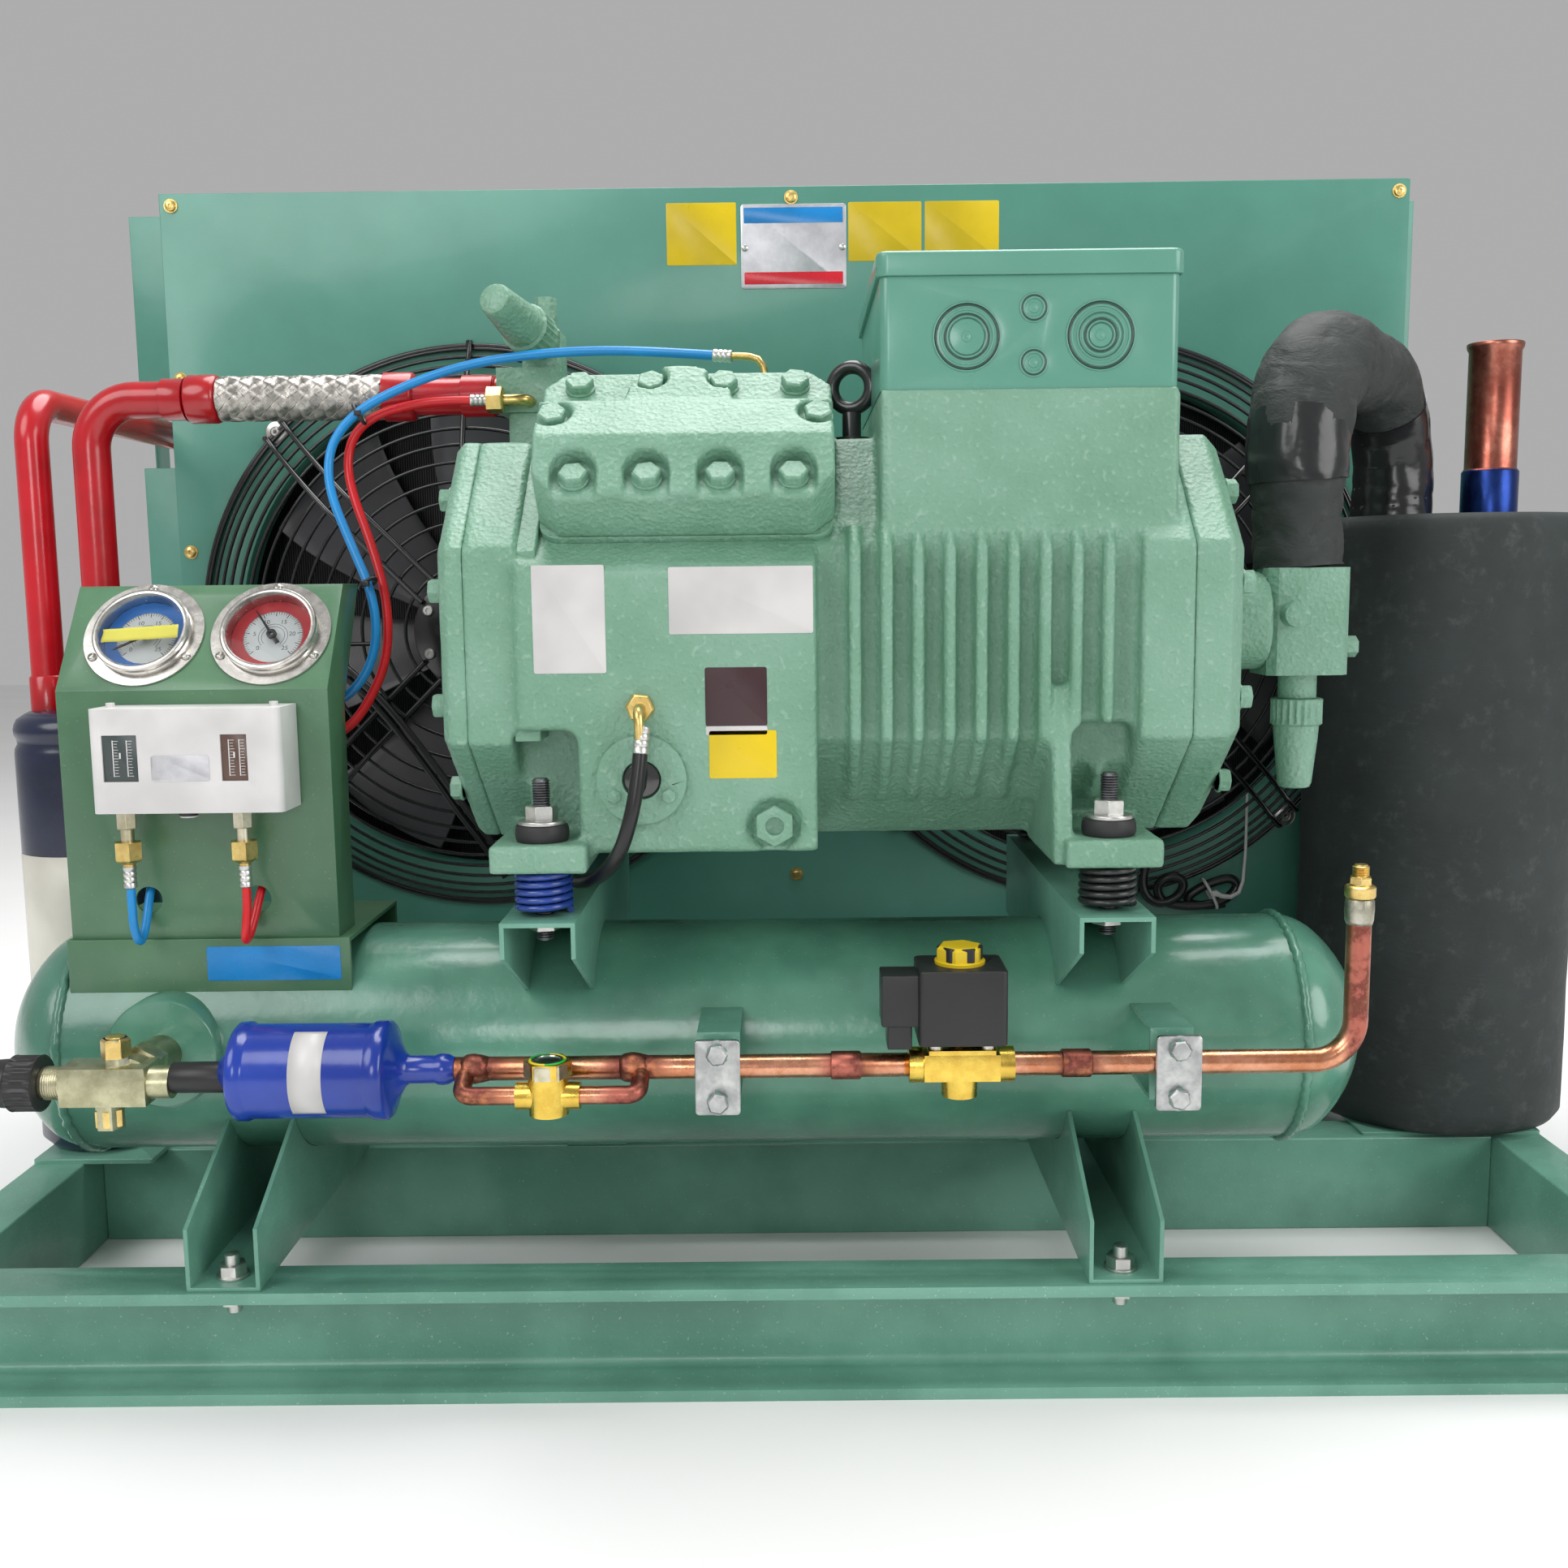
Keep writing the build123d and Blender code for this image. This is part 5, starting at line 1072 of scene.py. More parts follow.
def bladePlaces(x, turn):  # rows from the hub out, each from edge to edge
    s = fanSettings
    root = s["hub"] - 6
    for i in range(13):
        share = i / 12
        radius = root + (s["tip"] - 1 - root) * share
        chord = s["chord"][0] + (s["chord"][1] - s["chord"][0]) * share
        pitch = math.radians(s["pitch"][0] + (s["pitch"][1] - s["pitch"][0]) * share)
        row = []
        for k in range(11):
            spread = (k / 10 - 0.5) * chord * (1 - 0.06 * share * (k / 10))
            angle = turn + s["sweep"] * share ** 2 + spread * math.cos(pitch) / max(radius, 60)
            bow = s["camber"] * math.sin(math.pi * k / 10) * 0.6
            depth = s["middle"] + spread * math.sin(pitch) * 0.9 + bow
            y = s["panelY"] + min(max(depth, s["nearest"]), s["farthest"])
            row.append(at(x + radius * math.sin(angle), y, s["z"] + radius * math.cos(angle)))
        yield row


def makeFan(node, x, body):
    s = fanSettings
    shape = bmesh.new()
    for turn in around(s["blades"]):
        weave(shape, bladePlaces(x, turn))
    blades = fromBmesh(node + "Blades", shape, "fanBlade", 60)
    addModifier(blades, "SOLIDIFY", thickness=s["thick"] * millimetre, offset=0)
    addModifier(blades, "BEVEL", width=0.7 * millimetre, segments=2, limit_method="ANGLE")
    applyModifiers(blades)
    smoothBy(blades, 45)
    hub = lathe("hub", at(x, s["panelY"] + s["hubAt"], s["z"]), backward, s["hubOutline"],
                "fanBlade", 96)
    settle(join(node + "Wheel", [blades, hub]), node, body)


def makeCondenser():
    makeSkins(condenserSkins)
    for node, (x, body, guard) in fans.items():
        makeGuard(x, guard)
        makeFan(node, x, body)
    screws = [screw("panScrew", at(x, fanSettings["panelY"], z), forward, "pan", "brassBare", 28)
              for x, z in panelScrews]
    settle(join("panelScrews", screws), slot="zinc")


coilSettings = {"rows": 22, "pitch": 37.5, "lowest": 24, "left": -555, "right": 540,
                "inset": 3.5, "radius": 1.4}


def makeCoilTubes():  # the coil's tubes between its fins
    s = coilSettings
    low = fromBase(Vector(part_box("condenser_coil")[0]))
    y = low.y + s["inset"]
    tubes = []
    for i in range(s["rows"]):
        z = low.z + s["lowest"] + i * s["pitch"]
        ends = [at(x, y, z) for x in (s["left"], s["right"])]
        tubes.append(tubeMesh("coilTube", ends, s["radius"], "coilCopper", 8))
    settle(join("coilTubes", tubes), slot="copper")


makeCondenser()
makeCoilTubes()
print("condenser made")


# ---- blank plates and stickers, with nothing printed on them
sheetFace, blockFace, trayFace = fanSettings["panelY"] - 0.02, 37.4, 96.9
blanks = {  # left, right, bottom, top, the face's y, thickness, finish, slot, corner
    "ratingPlate": (-42, 56, 823, 899, sheetFace, 0.8, "plateAluminium", "fins", 3),
    "plateBlueBand": (-39, 53, 882, 896, sheetFace - 0.8, 0.1, "bandBlue", "drier_blue", 1),
    "plateRedBand": (-39, 53, 827, 838, sheetFace - 0.8, 0.1, "bandRed", "pipe_red", 1),
    "stickerLeft": (-111, -46, 845, 901, sheetFace, 0.25, "stickerYellow", "brass", 1.5),
    "stickerMiddle": (58, 126, 847, 900, sheetFace, 0.25, "stickerYellow", "brass", 1.5),
    "stickerRight": (129, 198, 847, 900, sheetFace, 0.25, "stickerYellow", "brass", 1.5),
    "whiteTall": (-170, -122, 492, 563, blockFace, 0.25, "stickerWhite", "white_plastic", 1.5),
    "whiteWide": (-80, 15, 517, 561, blockFace, 0.25, "stickerWhite", "white_plastic", 1.5),
    "darkSmall": (-57, -16, 456, 495, blockFace, 0.25, "stickerDark", "black_plastic", 1.5),
    "paleStrip": (-57, -16, 450, 456, blockFace, 0.25, "stickerWhite", "white_plastic", 1.5),
    "yellowLow": (-55, -10, 421, 453, blockFace, 0.25, "stickerYellow", "brass", 1.5),
    "trayStrip": (-421, -325, 271, 296, trayFace, 0.25, "bandBlue", "drier_blue", 1.5),
}
plateRivets = {"x": (-38.5, 52.5), "z": 860}


def makeBlanks():
    for name, (x0, x1, z0, z1, y, thick, finish, slot, corner) in blanks.items():
        centre = at((x0 + x1) / 2, y, (z0 + z1) / 2)
        settle(plate(name, centre, x1 - x0, z1 - z0, thick, finish, corner=corner), slot=slot)
    rivets = [screw("rivet", at(x, sheetFace - 0.8, plateRivets["z"]), forward, "rivet")
              for x in plateRivets["x"]]
    settle(join("plateRivets", rivets), slot="zinc")


makeBlanks()
print("blank plates made")


# ---- gauge panel
gaugeSettings = {
    "gauges": ((-463, "dialBlue"), (-372, "dialRed")), "bend": (100, 480), "lift": 46,
    "lean": math.atan2(50, 73), "dialDepth": 4, "firstMark": -135, "sweep": 270,
    "flange": [(0.05, 31), (0.05, 42.6), (0.7, 43), (1.5, 42.7), (1.6, 34), (2.6, 33),
               (4.4, 33.4), (5, 34.2), (7.4, 34.4), (8.6, 33.4), (9, 31.8), (8.6, 30.4),
               (6, 29.8), (-3.9, 29.8), (-3.9, 31)],
    "case": [(0, 28), (3, 31.8), (23.8, 31.8)], "caseDepth": 28, "screwCircle": 38.4,
    "dome": [(0, 29.9), (0.5, 29.9), (1.1, 24), (1.5, 12), (1.6, 0.1)], "domeLift": 6,
    "dial": 59.6, "disc": 42.4, "ticks": 50, "tickOut": 20.6, "tickIn": 18.6, "longTickIn": 17.2,
    "arcs": (20.8, 10.4, 8.2), "numbers": 6, "numberStep": 5, "numberAt": 13.6, "numberHigh": 4.8}


def gaugeFrame(x):
    s = gaugeSettings
    up = Vector((0, math.sin(s["lean"]), math.cos(s["lean"])))
    normal = Vector((0, -math.cos(s["lean"]), math.sin(s["lean"])))
    centre = at(x, *s["bend"]) + up * s["lift"] * millimetre
    return centre, normal, up


def outward(up, angle):  # a direction in the dial's plane, clockwise from up
    return Vector(rightward) * math.sin(angle) + up * math.cos(angle)


def dialAngle(share):
    s = gaugeSettings
    return math.radians(s["firstMark"] + s["sweep"] * share)


def makeDial(x, colour):
    s = gaugeSettings
    centre, normal, up = gaugeFrame(x)
    face = centre - normal * (s["dialDepth"] - 0.12) * millimetre
    for name, size, depth, thick, finish, bevel in (
            ("dial", s["dial"], 4.02, 0.12, colour, 0.02),
            ("dialCentre", s["disc"], 3.93, 0.04, "dialPale", 0.01)):
        disc = plate(name, centre - normal * depth * millimetre, size, size, thick, finish,
                     normal, up, size / 2 - 0.1, bevel)
        settle(disc, slot="dial")
    marks = []
    for k in range(s["ticks"] + 1):
        out = outward(up, dialAngle(k / s["ticks"]))
        inner, width = (s["tickIn"], 0.35) if k % 5 else (s["longTickIn"], 0.6)
        middle = face + out * (inner + s["tickOut"]) / 2 * millimetre
        marks.append(plate("tick", middle, width, s["tickOut"] - inner, 0.08, "dialInk",
                           normal, out, 0.1, 0.02))
    for radius in s["arcs"]:
        points = [face + outward(up, dialAngle(k / 60)) * radius * millimetre for k in range(61)]
        marks.append(tubeMesh("arc", points, 0.16, "dialInk", 6))
    settle(join("dialMarks", marks), slot="needle")
    numbers = []
    for k in range(s["numbers"]):
        out = outward(up, dialAngle(k / (s["numbers"] - 1)))
        point = face + out * s["numberAt"] * millimetre
        numbers.append(dialNumber(str(s["numberStep"] * k), point, normal, up))
    settle(join("dialNumbers", numbers), slot="needle")


def dialNumber(text, point, normal, up):
    data = bpy.data.curves.new("dialNumber", "FONT")
    data.body = text
    data.size = gaugeSettings["numberHigh"] * millimetre
    data.extrude = 0.04 * millimetre
    data.align_x = "CENTER"
    data.align_y = "CENTER"
    made = link(bpy.data.objects.new("dialNumber", data))
    mesh = bpy.data.meshes.new_from_object(made)
    matrix = Matrix((up.cross(normal), up, normal)).transposed().to_4x4()
    matrix.translation = point
    mesh.transform(matrix)
    bpy.data.objects.remove(made)
    return meshObject("dialNumber", mesh, "dialInk")


tapeSettings = {"tilt": 4, "half": 27, "low": -9, "high": 2, "lift": 7.75, "thick": 0.1,
                "torn": 1.8, "tornEdge": 0.16, "wavy": 0.25, "crumple": 0.12}


def makeTapeStrip(x):  # pale tape across the blue gauge's glass, torn at its ends
    s = tapeSettings
    centre, normal, up = gaugeFrame(x)
    tilt = math.radians(s["tilt"])
    right = Vector(rightward) * math.cos(tilt) + up * math.sin(tilt)
    aloft = up * math.cos(tilt) - Vector(rightward) * math.sin(tilt)
    rows = []
    for i in range(25):
        share = i / 24
        torn = i in (0, 24)
        row = []
        for k in range(5):
            across = s["half"] * (2 * share - 1)
            rise = s["low"] + (s["high"] - s["low"]) * k / 4 + s["wavy"] * jitter(i * 0.3, k, 0)
            if torn:
                across += s["torn"] * jitter(k * 2.1, share * 9, 4)
                rise += s["tornEdge"] * jitter(i * 0.9, 0, 0)
            lift = s["lift"] + s["crumple"] * jitter(i * 0.4, k * 0.7, 2)
            row.append(centre + (right * across + aloft * rise + normal * lift) * millimetre)
        rows.append(row)
    settle(sheet("tapeStrip", rows, "paleTape", s["thick"], 1, 60), slot="brass")


def makeGauges():
    s = gaugeSettings
    cases, glasses = [], []
    for x, colour in s["gauges"]:
        centre, normal, up = gaugeFrame(x)
        cases.append(lathe("gaugeFlange", centre, normal, s["flange"], "chromeRim", 120, 35,
                           hollow=True))
        back = centre - normal * s["caseDepth"] * millimetre
        cases.append(lathe("gaugeCase", back, normal, s["case"], "chromeRim", 96))
        for angle in around(3):
            spot = centre + outward(up, angle) * s["screwCircle"] * millimetre
            cases.append(screw("gaugeScrew", spot, normal, "gauge"))
        glass = centre + normal * s["domeLift"] * millimetre
        glasses.append(lathe("gaugeGlass", glass, normal, s["dome"], "clearGlass", 96))
        makeDial(x, colour)
    makeTapeStrip(s["gauges"][0][0])
    settle(join("gaugeCases", cases), "gauges")
    settle(join("gaugeGlasses", glasses), "gauges")
    for node, body in (("needle_low", "low_pointer"), ("needle_high", "high_pointer")):
        settle(bevelled(node + "Skin", node, "needleBlack", 0.15, 2), node, body)


switchSettings = {
    "face": 61, "middle": 436, "windows": ((-470, -446, "scaleDark"), (-389, -371, "scaleBrown")),
    "columns": (0.30, 0.70), "under": 398, "screwX": (-472, -446, -392, -366, -357),
    "screwY": (68, 90), "gland": [(0, 6.5), (1.5, 7), (4, 6), (5, 3.5)], "glandAt": (-420, 78),
    "label": (-417, 59.95, 429), "labelWidth": 40, "labelHeight": 18, "windowHeight": 31.6}
panelSettings = {"weldX": (-510, -330), "weld": [(0, 4.6), (1.2, 4.4), (2.4, 3), (2.8, 0.1)]}


def scaleMark(name, x, y, z, width, height, thick, corner=0.1, bevel=0.02):
    return plate(name, at(x, y, z), width, height, thick, "whiteMoulding", corner=corner,
                 bevel=bevel)


def makeSwitch():
    s = switchSettings
    face, middle = s["face"], s["middle"]
    settle(bevelled("switchCase", "pressure_switch", "whiteMoulding", 0.8, 3), "pressure_switch")
    scales = []
    for x0, x1, finish in s["windows"]:
        window = plate("scale", at((x0 + x1) / 2, face + 0.15, middle), x1 - x0 - 0.4,
                       s["windowHeight"], 0.2, finish, corner=0.4, bevel=0.05)
        settle(window, slot="black_plastic")
        for column in s["columns"]:
            x = x0 + (x1 - x0) * column
            scales.append(scaleMark("scaleLine", x, face - 0.1, middle, 0.7, 25, 0.1))
            for k in range(13):
                scales.append(scaleMark("scaleTick", x + 2, face - 0.1, middle - 12 + 2 * k,
                                        2.4 if k % 3 else 3.6, 0.35, 0.1))
        scales.append(scaleMark("scalePointer", (x0 + x1) / 2, face - 0.2, middle + 2, 1.2, 4,
                                0.3, 0.2, 0.05))
    settle(join("scaleMarks", scales), slot="white_plastic")
    label = plate("switchPlate", at(*s["label"]), s["labelWidth"], s["labelHeight"], 0.15,
                  "plateAluminium", bevel=0.04)
    settle(label, slot="fins")
    screws = [screw("switchScrew", at(x, y, s["under"]), downward, "switch", sides=20)
              for x in s["screwX"] for y in s["screwY"]]
    settle(join("switchScrews", screws), slot="zinc")
    gland = lathe("switchGland", at(*s["glandAt"], s["under"]), downward, s["gland"],
                  "blackMoulding", 32)
    settle(gland, slot="black_plastic")


def makePanel():
    s = panelSettings
    settle(bevelled("gaugePanelSkin", "gauge_panel", "panelEnamel", 1.4, 4, 25), "gauge_panel")
    welds = []
    for x in s["weldX"]:
        for k in range(3):
            spot = at(x + k * 3.4, 95 + 0.6 * k, 243 - k * 0.8)
            welds.append(lathe("weldSpot", spot, (0.1 * k, -1, 0.2), s["weld"], "frameEnamel",
                               20, 80))
    settle(join("trayWelds", welds), slot="frame_paint")


fittingSettings = {
    "switchX": (-464, -383), "y": 78, "under": 398, "hex": 12, "flareHex": 17,
    "neck": [(0, 4.6), (9, 4.6)], "flareNeck": [(0, 7), (2, 4.2), (3.2, 4.2)],
    "banjo": [(-100, 30, 469), (-100, 24, 469), (-100, 20, 467), (-99.6, 18, 463),
              (-99.4, 18, 458), (-99, 18, 450)],
    "lowPipe": [(10, -2, -1), (18, -3.6, -1.2), (26, -5, -2), (32, -6.2, -4), (35.6, -7, -9),
                (37, -7.6, -15), (38, -8, -22)],
    "highElbow": [(26, 0, 0), (34, 0, 0), (40, 0.6, 0), (43, 3, 0), (44, 7, 0), (44, 12, 0)],
    "highTail": [(0, 3.6), (3, 4.8)], "teeZ": (462, 440),
    "teeBar": [(0, 5.4), (0.6, 6), (21.4, 6), (22, 5.4)],
    "teeLeg": [(0, 5.4), (0.6, 6), (34, 6)]}


def makeFittings():
    s = fittingSettings
    y, under = s["y"], s["under"]
    nickel, brass, crimps = [], [], []
    for x in s["switchX"]:
        nickel.append(hexBar("connector", at(x, y, under), downward, s["hex"], 13,
                             "nickelPlate", 0.2))
        nickel.append(lathe("connectorNeck", at(x, y, under - 13), downward, s["neck"],
                            "nickelPlate", 28))
        brass.append(hexBar("flareNut", at(x, y, under - 22), downward, s["flareHex"], 14,
                            "brassBare", 0.1, 1.4))
        brass.append(lathe("flareNeck", at(x, y, under - 36), downward, s["flareNeck"],
                           "brassBare", 28))
        crimps.append(crimp(at(x, y, under - 39), downward, 16, 4.5))
    brass.append(hexBar("banjoHex", at(-100, 37.8, 469), forward, s["flareHex"], 7,
                        "brassBare", 0.4, 1.4))
    banjo = [at(*point) for point in s["banjo"]]
    brass.append(tubeMesh("banjoPipe", banjo, 3.4, "brassBare"))
    lowEnd, highEnd = at(*hoseRoutes["low"][-1]), at(*hoseRoutes["high"][-1])

    def run(base, offsets):
        return [base + Vector(offset) * millimetre for offset in offsets]

    brass.append(tubeMesh("lowPipe", run(lowEnd, s["lowPipe"]), 2.6, "brassBare", 14))
    nut, tail = run(highEnd, [(13, 0, 0), (10, 0, 0)])
    brass.append(hexBar("highNut", nut, rightward, 18, 13, "brassBare", 0.3, 1.6))
    brass.append(lathe("highTail", tail, rightward, s["highTail"], "brassBare", 28))
    brass.append(tubeMesh("highElbow", run(highEnd, s["highElbow"]), 4.4, "brassBare"))
    for (x, colour), z in zip(gaugeSettings["gauges"], s["teeZ"]):
        brass.append(lathe("teeBar", at(x - 9, 150, z), rightward, s["teeBar"], "brassBare", 32))
        brass.append(lathe("teeLeg", at(x, 150, z - 12), upward, s["teeLeg"], "brassBare", 32))
    crimps.append(crimp(lowEnd, (39, -8, -4), 14, 4.5))
    crimps.append(crimp(highEnd, rightward, 14, 4.5))
    start, after = [at(*point) for point in hoseRoutes["oil"][:2]]
    crimps.append(crimp(start, start - after, 18, 5.5))
    settle(join("connectors", nickel), "hose_fittings", slot="nickel")
    settle(join("brassFittings", brass), "hose_fittings")
    settle(join("crimps", crimps), "hose_fittings", slot="zinc")


def crimp(start, axis, length, radius):
    outline = [(0, radius - 0.5), (0.6, radius)]
    for k in range(3):
        along = length * (0.25 + 0.25 * k)
        outline += [(along - 1.2, radius), (along, radius - 0.55), (along + 1.2, radius)]
    outline += [(length - 0.6, radius), (length, radius - 0.6)]
    return lathe("crimp", start, axis, outline, "zincPlate", 28, 30)


hoseTies = (((-331, 233, 683), (24, 0, 14)), ((-321, 199, 553), (-20, 14, 42)))


def tieBand(place, along, radius):
    matrix = frameAt(place, along)
    points = [matrix @ (Vector((math.cos(a) * radius * 1.5, math.sin(a) * radius, 0)) * millimetre)
              for a in around(28)]
    return tubeMesh("tie", points, 1.5, "blackMoulding", 8, True)


def makeTies():
    ties = []
    for place, along in hoseTies:
        ties.append(tieBand(at(*place), along, 5.4))
        head = at(*place) + Vector((1, -7.5, 0)) * millimetre
        ties.append(plate("tieHead", head, 5, 4, 3, "blackMoulding", corner=0.8, bevel=0.4))
    settle(join("hoseTies", ties), slot="black_plastic")


makePanel()
makeGauges()
makeSwitch()
makeFittings()
makeTies()
print("gauge panel made")


# ---- piping
dischargeSettings = {  # the pipe from the compressor's head to the separator
    "y": 270, "z": 700, "bend": 38, "radius": 14.3,
    "run": [(-450, 270, 700), (-556, 270, 700), (-556, 270, 452)],
    "turned": (  # name, x, outline, sides
        ("collar", -476, [(0, 15), (1.5, 18.4), (2.5, 19), (22, 19), (24, 18.2), (26, 15)], 64),
        ("sleeve", -496, [(0, 14.4), (1, 16.3), (18, 16.3), (19, 17.2), (20, 14.4)], 64),
        ("collar", -319, [(-1, 17), (0, 19), (21, 19), (23, 18), (24, 15)], 64),
        ("sleeve", -258, [(0, 14.4), (1, 16.3), (25, 16.3), (26, 14.4)], 64)),
    "stub": [(0, 14.3), (71, 14.3)], "stubX": -297,
    "solder": [(-1.5, 14.3), (0, 15.6), (1.5, 14.3)], "solderX": (-470, -436, -297, -232)}
inletSettings = {  # the pipe from the separator to the condenser
    "bend": 34, "radius": 13, "run": [(-618, 300, 452), (-618, 300, 704), (-618, 612, 704)],
    "sleeve": [(0, 14.8), (27, 14.8), (29, 13.2)]}


def makeDischarge():
    s = dischargeSettings
    y, z = s["y"], s["z"]
    parts = [tubeMesh("dischargeLine", arcPoints(s["run"], s["bend"]), s["radius"], "redEnamel",
                      40)]
    for name, x, outline, sides in s["turned"]:
        parts.append(lathe(name, at(x, y, z), rightward, outline, "redEnamel", sides, 50))
    parts.append(lathe("stubLine", at(s["stubX"], y, z), rightward, s["stub"], "redEnamel", 48))
    for x in s["solderX"]:
        parts.append(lathe("solder", at(x, y, z), rightward, s["solder"], "redEnamel", 48, 80))
    settle(join("dischargeRun", parts), "discharge_pipe")
    s = inletSettings
    inlet = [
        tubeMesh("inletLine", arcPoints(s["run"], s["bend"]), s["radius"], "redEnamel", 40),
        lathe("inletSleeve", at(*s["run"][0]), upward, s["sleeve"], "redEnamel", 56, 50)]
    settle(join("inletRun", inlet), "condenser_inlet")


braidSettings = {"x0": -450, "x1": -319, "y": 270, "z": 700, "radius": 16.5, "strands": 12,
                 "turns": 1.15, "width": 6.4, "wires": 5, "steps": 132, "weave": 0.62,
                 "wire": 0.26, "core": 15.8}


def strandRows(way, strand):  # one flat bundle of wires, over and under the others
    s = braidSettings
    lanes = s["wires"] * 4
    length = s["x1"] - s["x0"]
    slope = math.atan2(2 * math.pi * s["turns"] * s["radius"], length)
    for i in range(s["steps"] + 1):
        share = i / s["steps"]
        turn = 2 * math.pi * s["turns"] * share
        angle = way * turn + 2 * math.pi * strand / s["strands"]
        lift = s["weave"] * math.sin(s["strands"] * turn + strand * math.pi) * way
        row = []
        for lane in range(lanes + 1):
            across = (lane / lanes - 0.5) * s["width"]
            wire = s["wire"] * abs(math.sin(math.pi * lane * s["wires"] / lanes))
            along = s["x0"] + length * share - way * across * math.sin(slope)
            along = min(max(along, s["x0"]), s["x1"])
            place = angle + across * math.cos(slope) / s["radius"]
            radius = s["radius"] + 0.5 + lift + wire - 0.3 * (2 * lane / lanes - 1) ** 2
            row.append(at(along, s["y"] + radius * math.cos(place),
                          s["z"] + radius * math.sin(place)))
        yield row


def makeBraid():
    s = braidSettings
    shape = bmesh.new()
    for way in (-1, 1):
        for strand in range(s["strands"]):
            weave(shape, strandRows(way, strand))
    settle(fromBmesh("braid", shape, "braidWire", 80), "discharge_hose")
    outline = [(0, s["core"]), (s["x1"] - s["x0"], s["core"])]
    core = lathe("braidCore", at(s["x0"], s["y"], s["z"]), rightward, outline, "darkSteel")
    settle(core, "discharge_hose")


separatorSettings = {
    "x": -592, "y": 300, "foot": 84, "cap": 432,
    "vessel": [(0, 42), (3, 47), (10, 53), (334, 53), (338, 52.4), (342, 50.4), (346, 51),
               (350, 52.8), (354, 53), (358, 52), (362, 50), (366, 44), (368, 34), (369, 30)],
    "capOutline": [(0, 46), (14, 46), (18, 44), (20, 40)],
    "label": (-150, -35), "labelZ": (200, 250, 300, 336), "labelRadius": 53.25,
    "plate": (-581.5, 300, 80), "plateWidth": 99, "plateDepth": 120, "plateThick": 4}


def makeFoot(name, s):  # the plate that a vessel stands on
    foot = plate(name, at(*s["plate"]), s["plateWidth"], s["plateDepth"], s["plateThick"],
                 "frameEnamel", upward, backward, 3, 0.6)
    settle(foot, slot="frame_paint")


def makeSeparator():
    s = separatorSettings
    x, y = s["x"], s["y"]
    parts = [
        lathe("vessel", at(x, y, s["foot"]), upward, s["vessel"], "navyEnamel", 128, 50),
        lathe("separatorCap", at(x, y, s["cap"]), upward, s["capOutline"], "navyEnamel", 96, 50)]
    settle(join("separator", parts), "oil_separator")
    makeFoot("separatorFoot", s)
    angles = [math.radians(angle) for angle in between(*s["label"], 33)]
    rows = [[at(x + s["labelRadius"] * math.cos(a), y + s["labelRadius"] * math.sin(a), z)
             for a in angles] for z in s["labelZ"]]
    settle(sheet("separatorLabel", rows, "stickerCream", 0.15), slot="white_plastic")


foamSettings = {
    "run": [(382, 186, 557), (373, 186, 716), (521, 370, 716), (521, 370, 600)], "bend": 84,
    "radius": 33, "swell": 7, "swellAt": 0.38, "spread": 0.17, "fold": 3.0, "lump": 2.6,
    "bands": ((0.25, 5), (0.90, 12)), "bandLift": 2.1, "pinch": 1.6, "sides": 88}
accumulatorSettings = {
    "x": 568, "y": 370, "foot": 83, "radius": 113, "wall": 485, "seamPitch": 172,
    "base": [(0, 105), (2, 110), (8, 113)],
    "top": [(505, 112.4), (512, 110), (517, 106), (517, 80), (517, 40), (517, 0.1)],
    "stub": [(0, 23), (38, 23), (40, 21.6), (41, 21), (139, 21), (142, 22.6), (145, 23),
             (146, 22.4), (146, 19.6), (140, 19.4), (4, 19.4), (4, 0.1)],
    "stubAt": (604, 370, 600), "plate": (555.75, 368.25, 80), "plateWidth": 151.5,
    "plateDepth": 183, "plateThick": 3}


def foamTube(name, points, radius, finish, folds=1.0):
    s = foamSettings
    tube = tubeMesh(name, points, radius, finish, s["sides"])
    normals = [vertex.normal.copy() for vertex in tube.data.vertices]
    for i, (vertex, normal) in enumerate(zip(tube.data.vertices, normals)):
        drift = noise.noise(vertex.co * 16)
        wave = i // s["sides"] * 0.42 + 3.4 * drift + 2.0 * noise.noise(vertex.co * 40)
        crease = abs(math.sin(wave)) ** 0.35
        lump = drift * s["lump"] + noise.noise(vertex.co * 55) * 0.7
        lump -= (1 - crease) * s["fold"] * folds
        vertex.co += normal * (lump - 0.4) * millimetre
    return tube


def foamReach(share):  # the foam swells at its bend and is pinched under the tape
    s = foamSettings
    pinch = sum(max(0, 1 - abs(share - band) / 0.02) for band, width in s["bands"])
    swell = s["swell"] * math.exp(-((share - s["swellAt"]) / s["spread"]) ** 2)
    return s["radius"] + swell - s["pinch"] * pinch


def makeSuction():
    s = foamSettings
    route = arcPoints(s["run"], s["bend"], 26)
    dense = []
    for a, b in zip(route, route[1:]):
        steps = max(1, int((b - a).length / 0.003))
        dense += [a + (b - a) * k / steps for k in range(steps)]
    dense.append(route[-1])
    settle(foamTube("foamArch", dense, foamReach, "foamPipe"), "suction_pipe")
    for share, width in s["bands"]:
        i = int(share * (len(dense) - 1))
        piece = dense[i - width:i + width + 1]
        band = foamTube("tapeBand", piece, foamReach(share) + s["bandLift"], "tape", 0.5)
        settle(band, slot="foam")


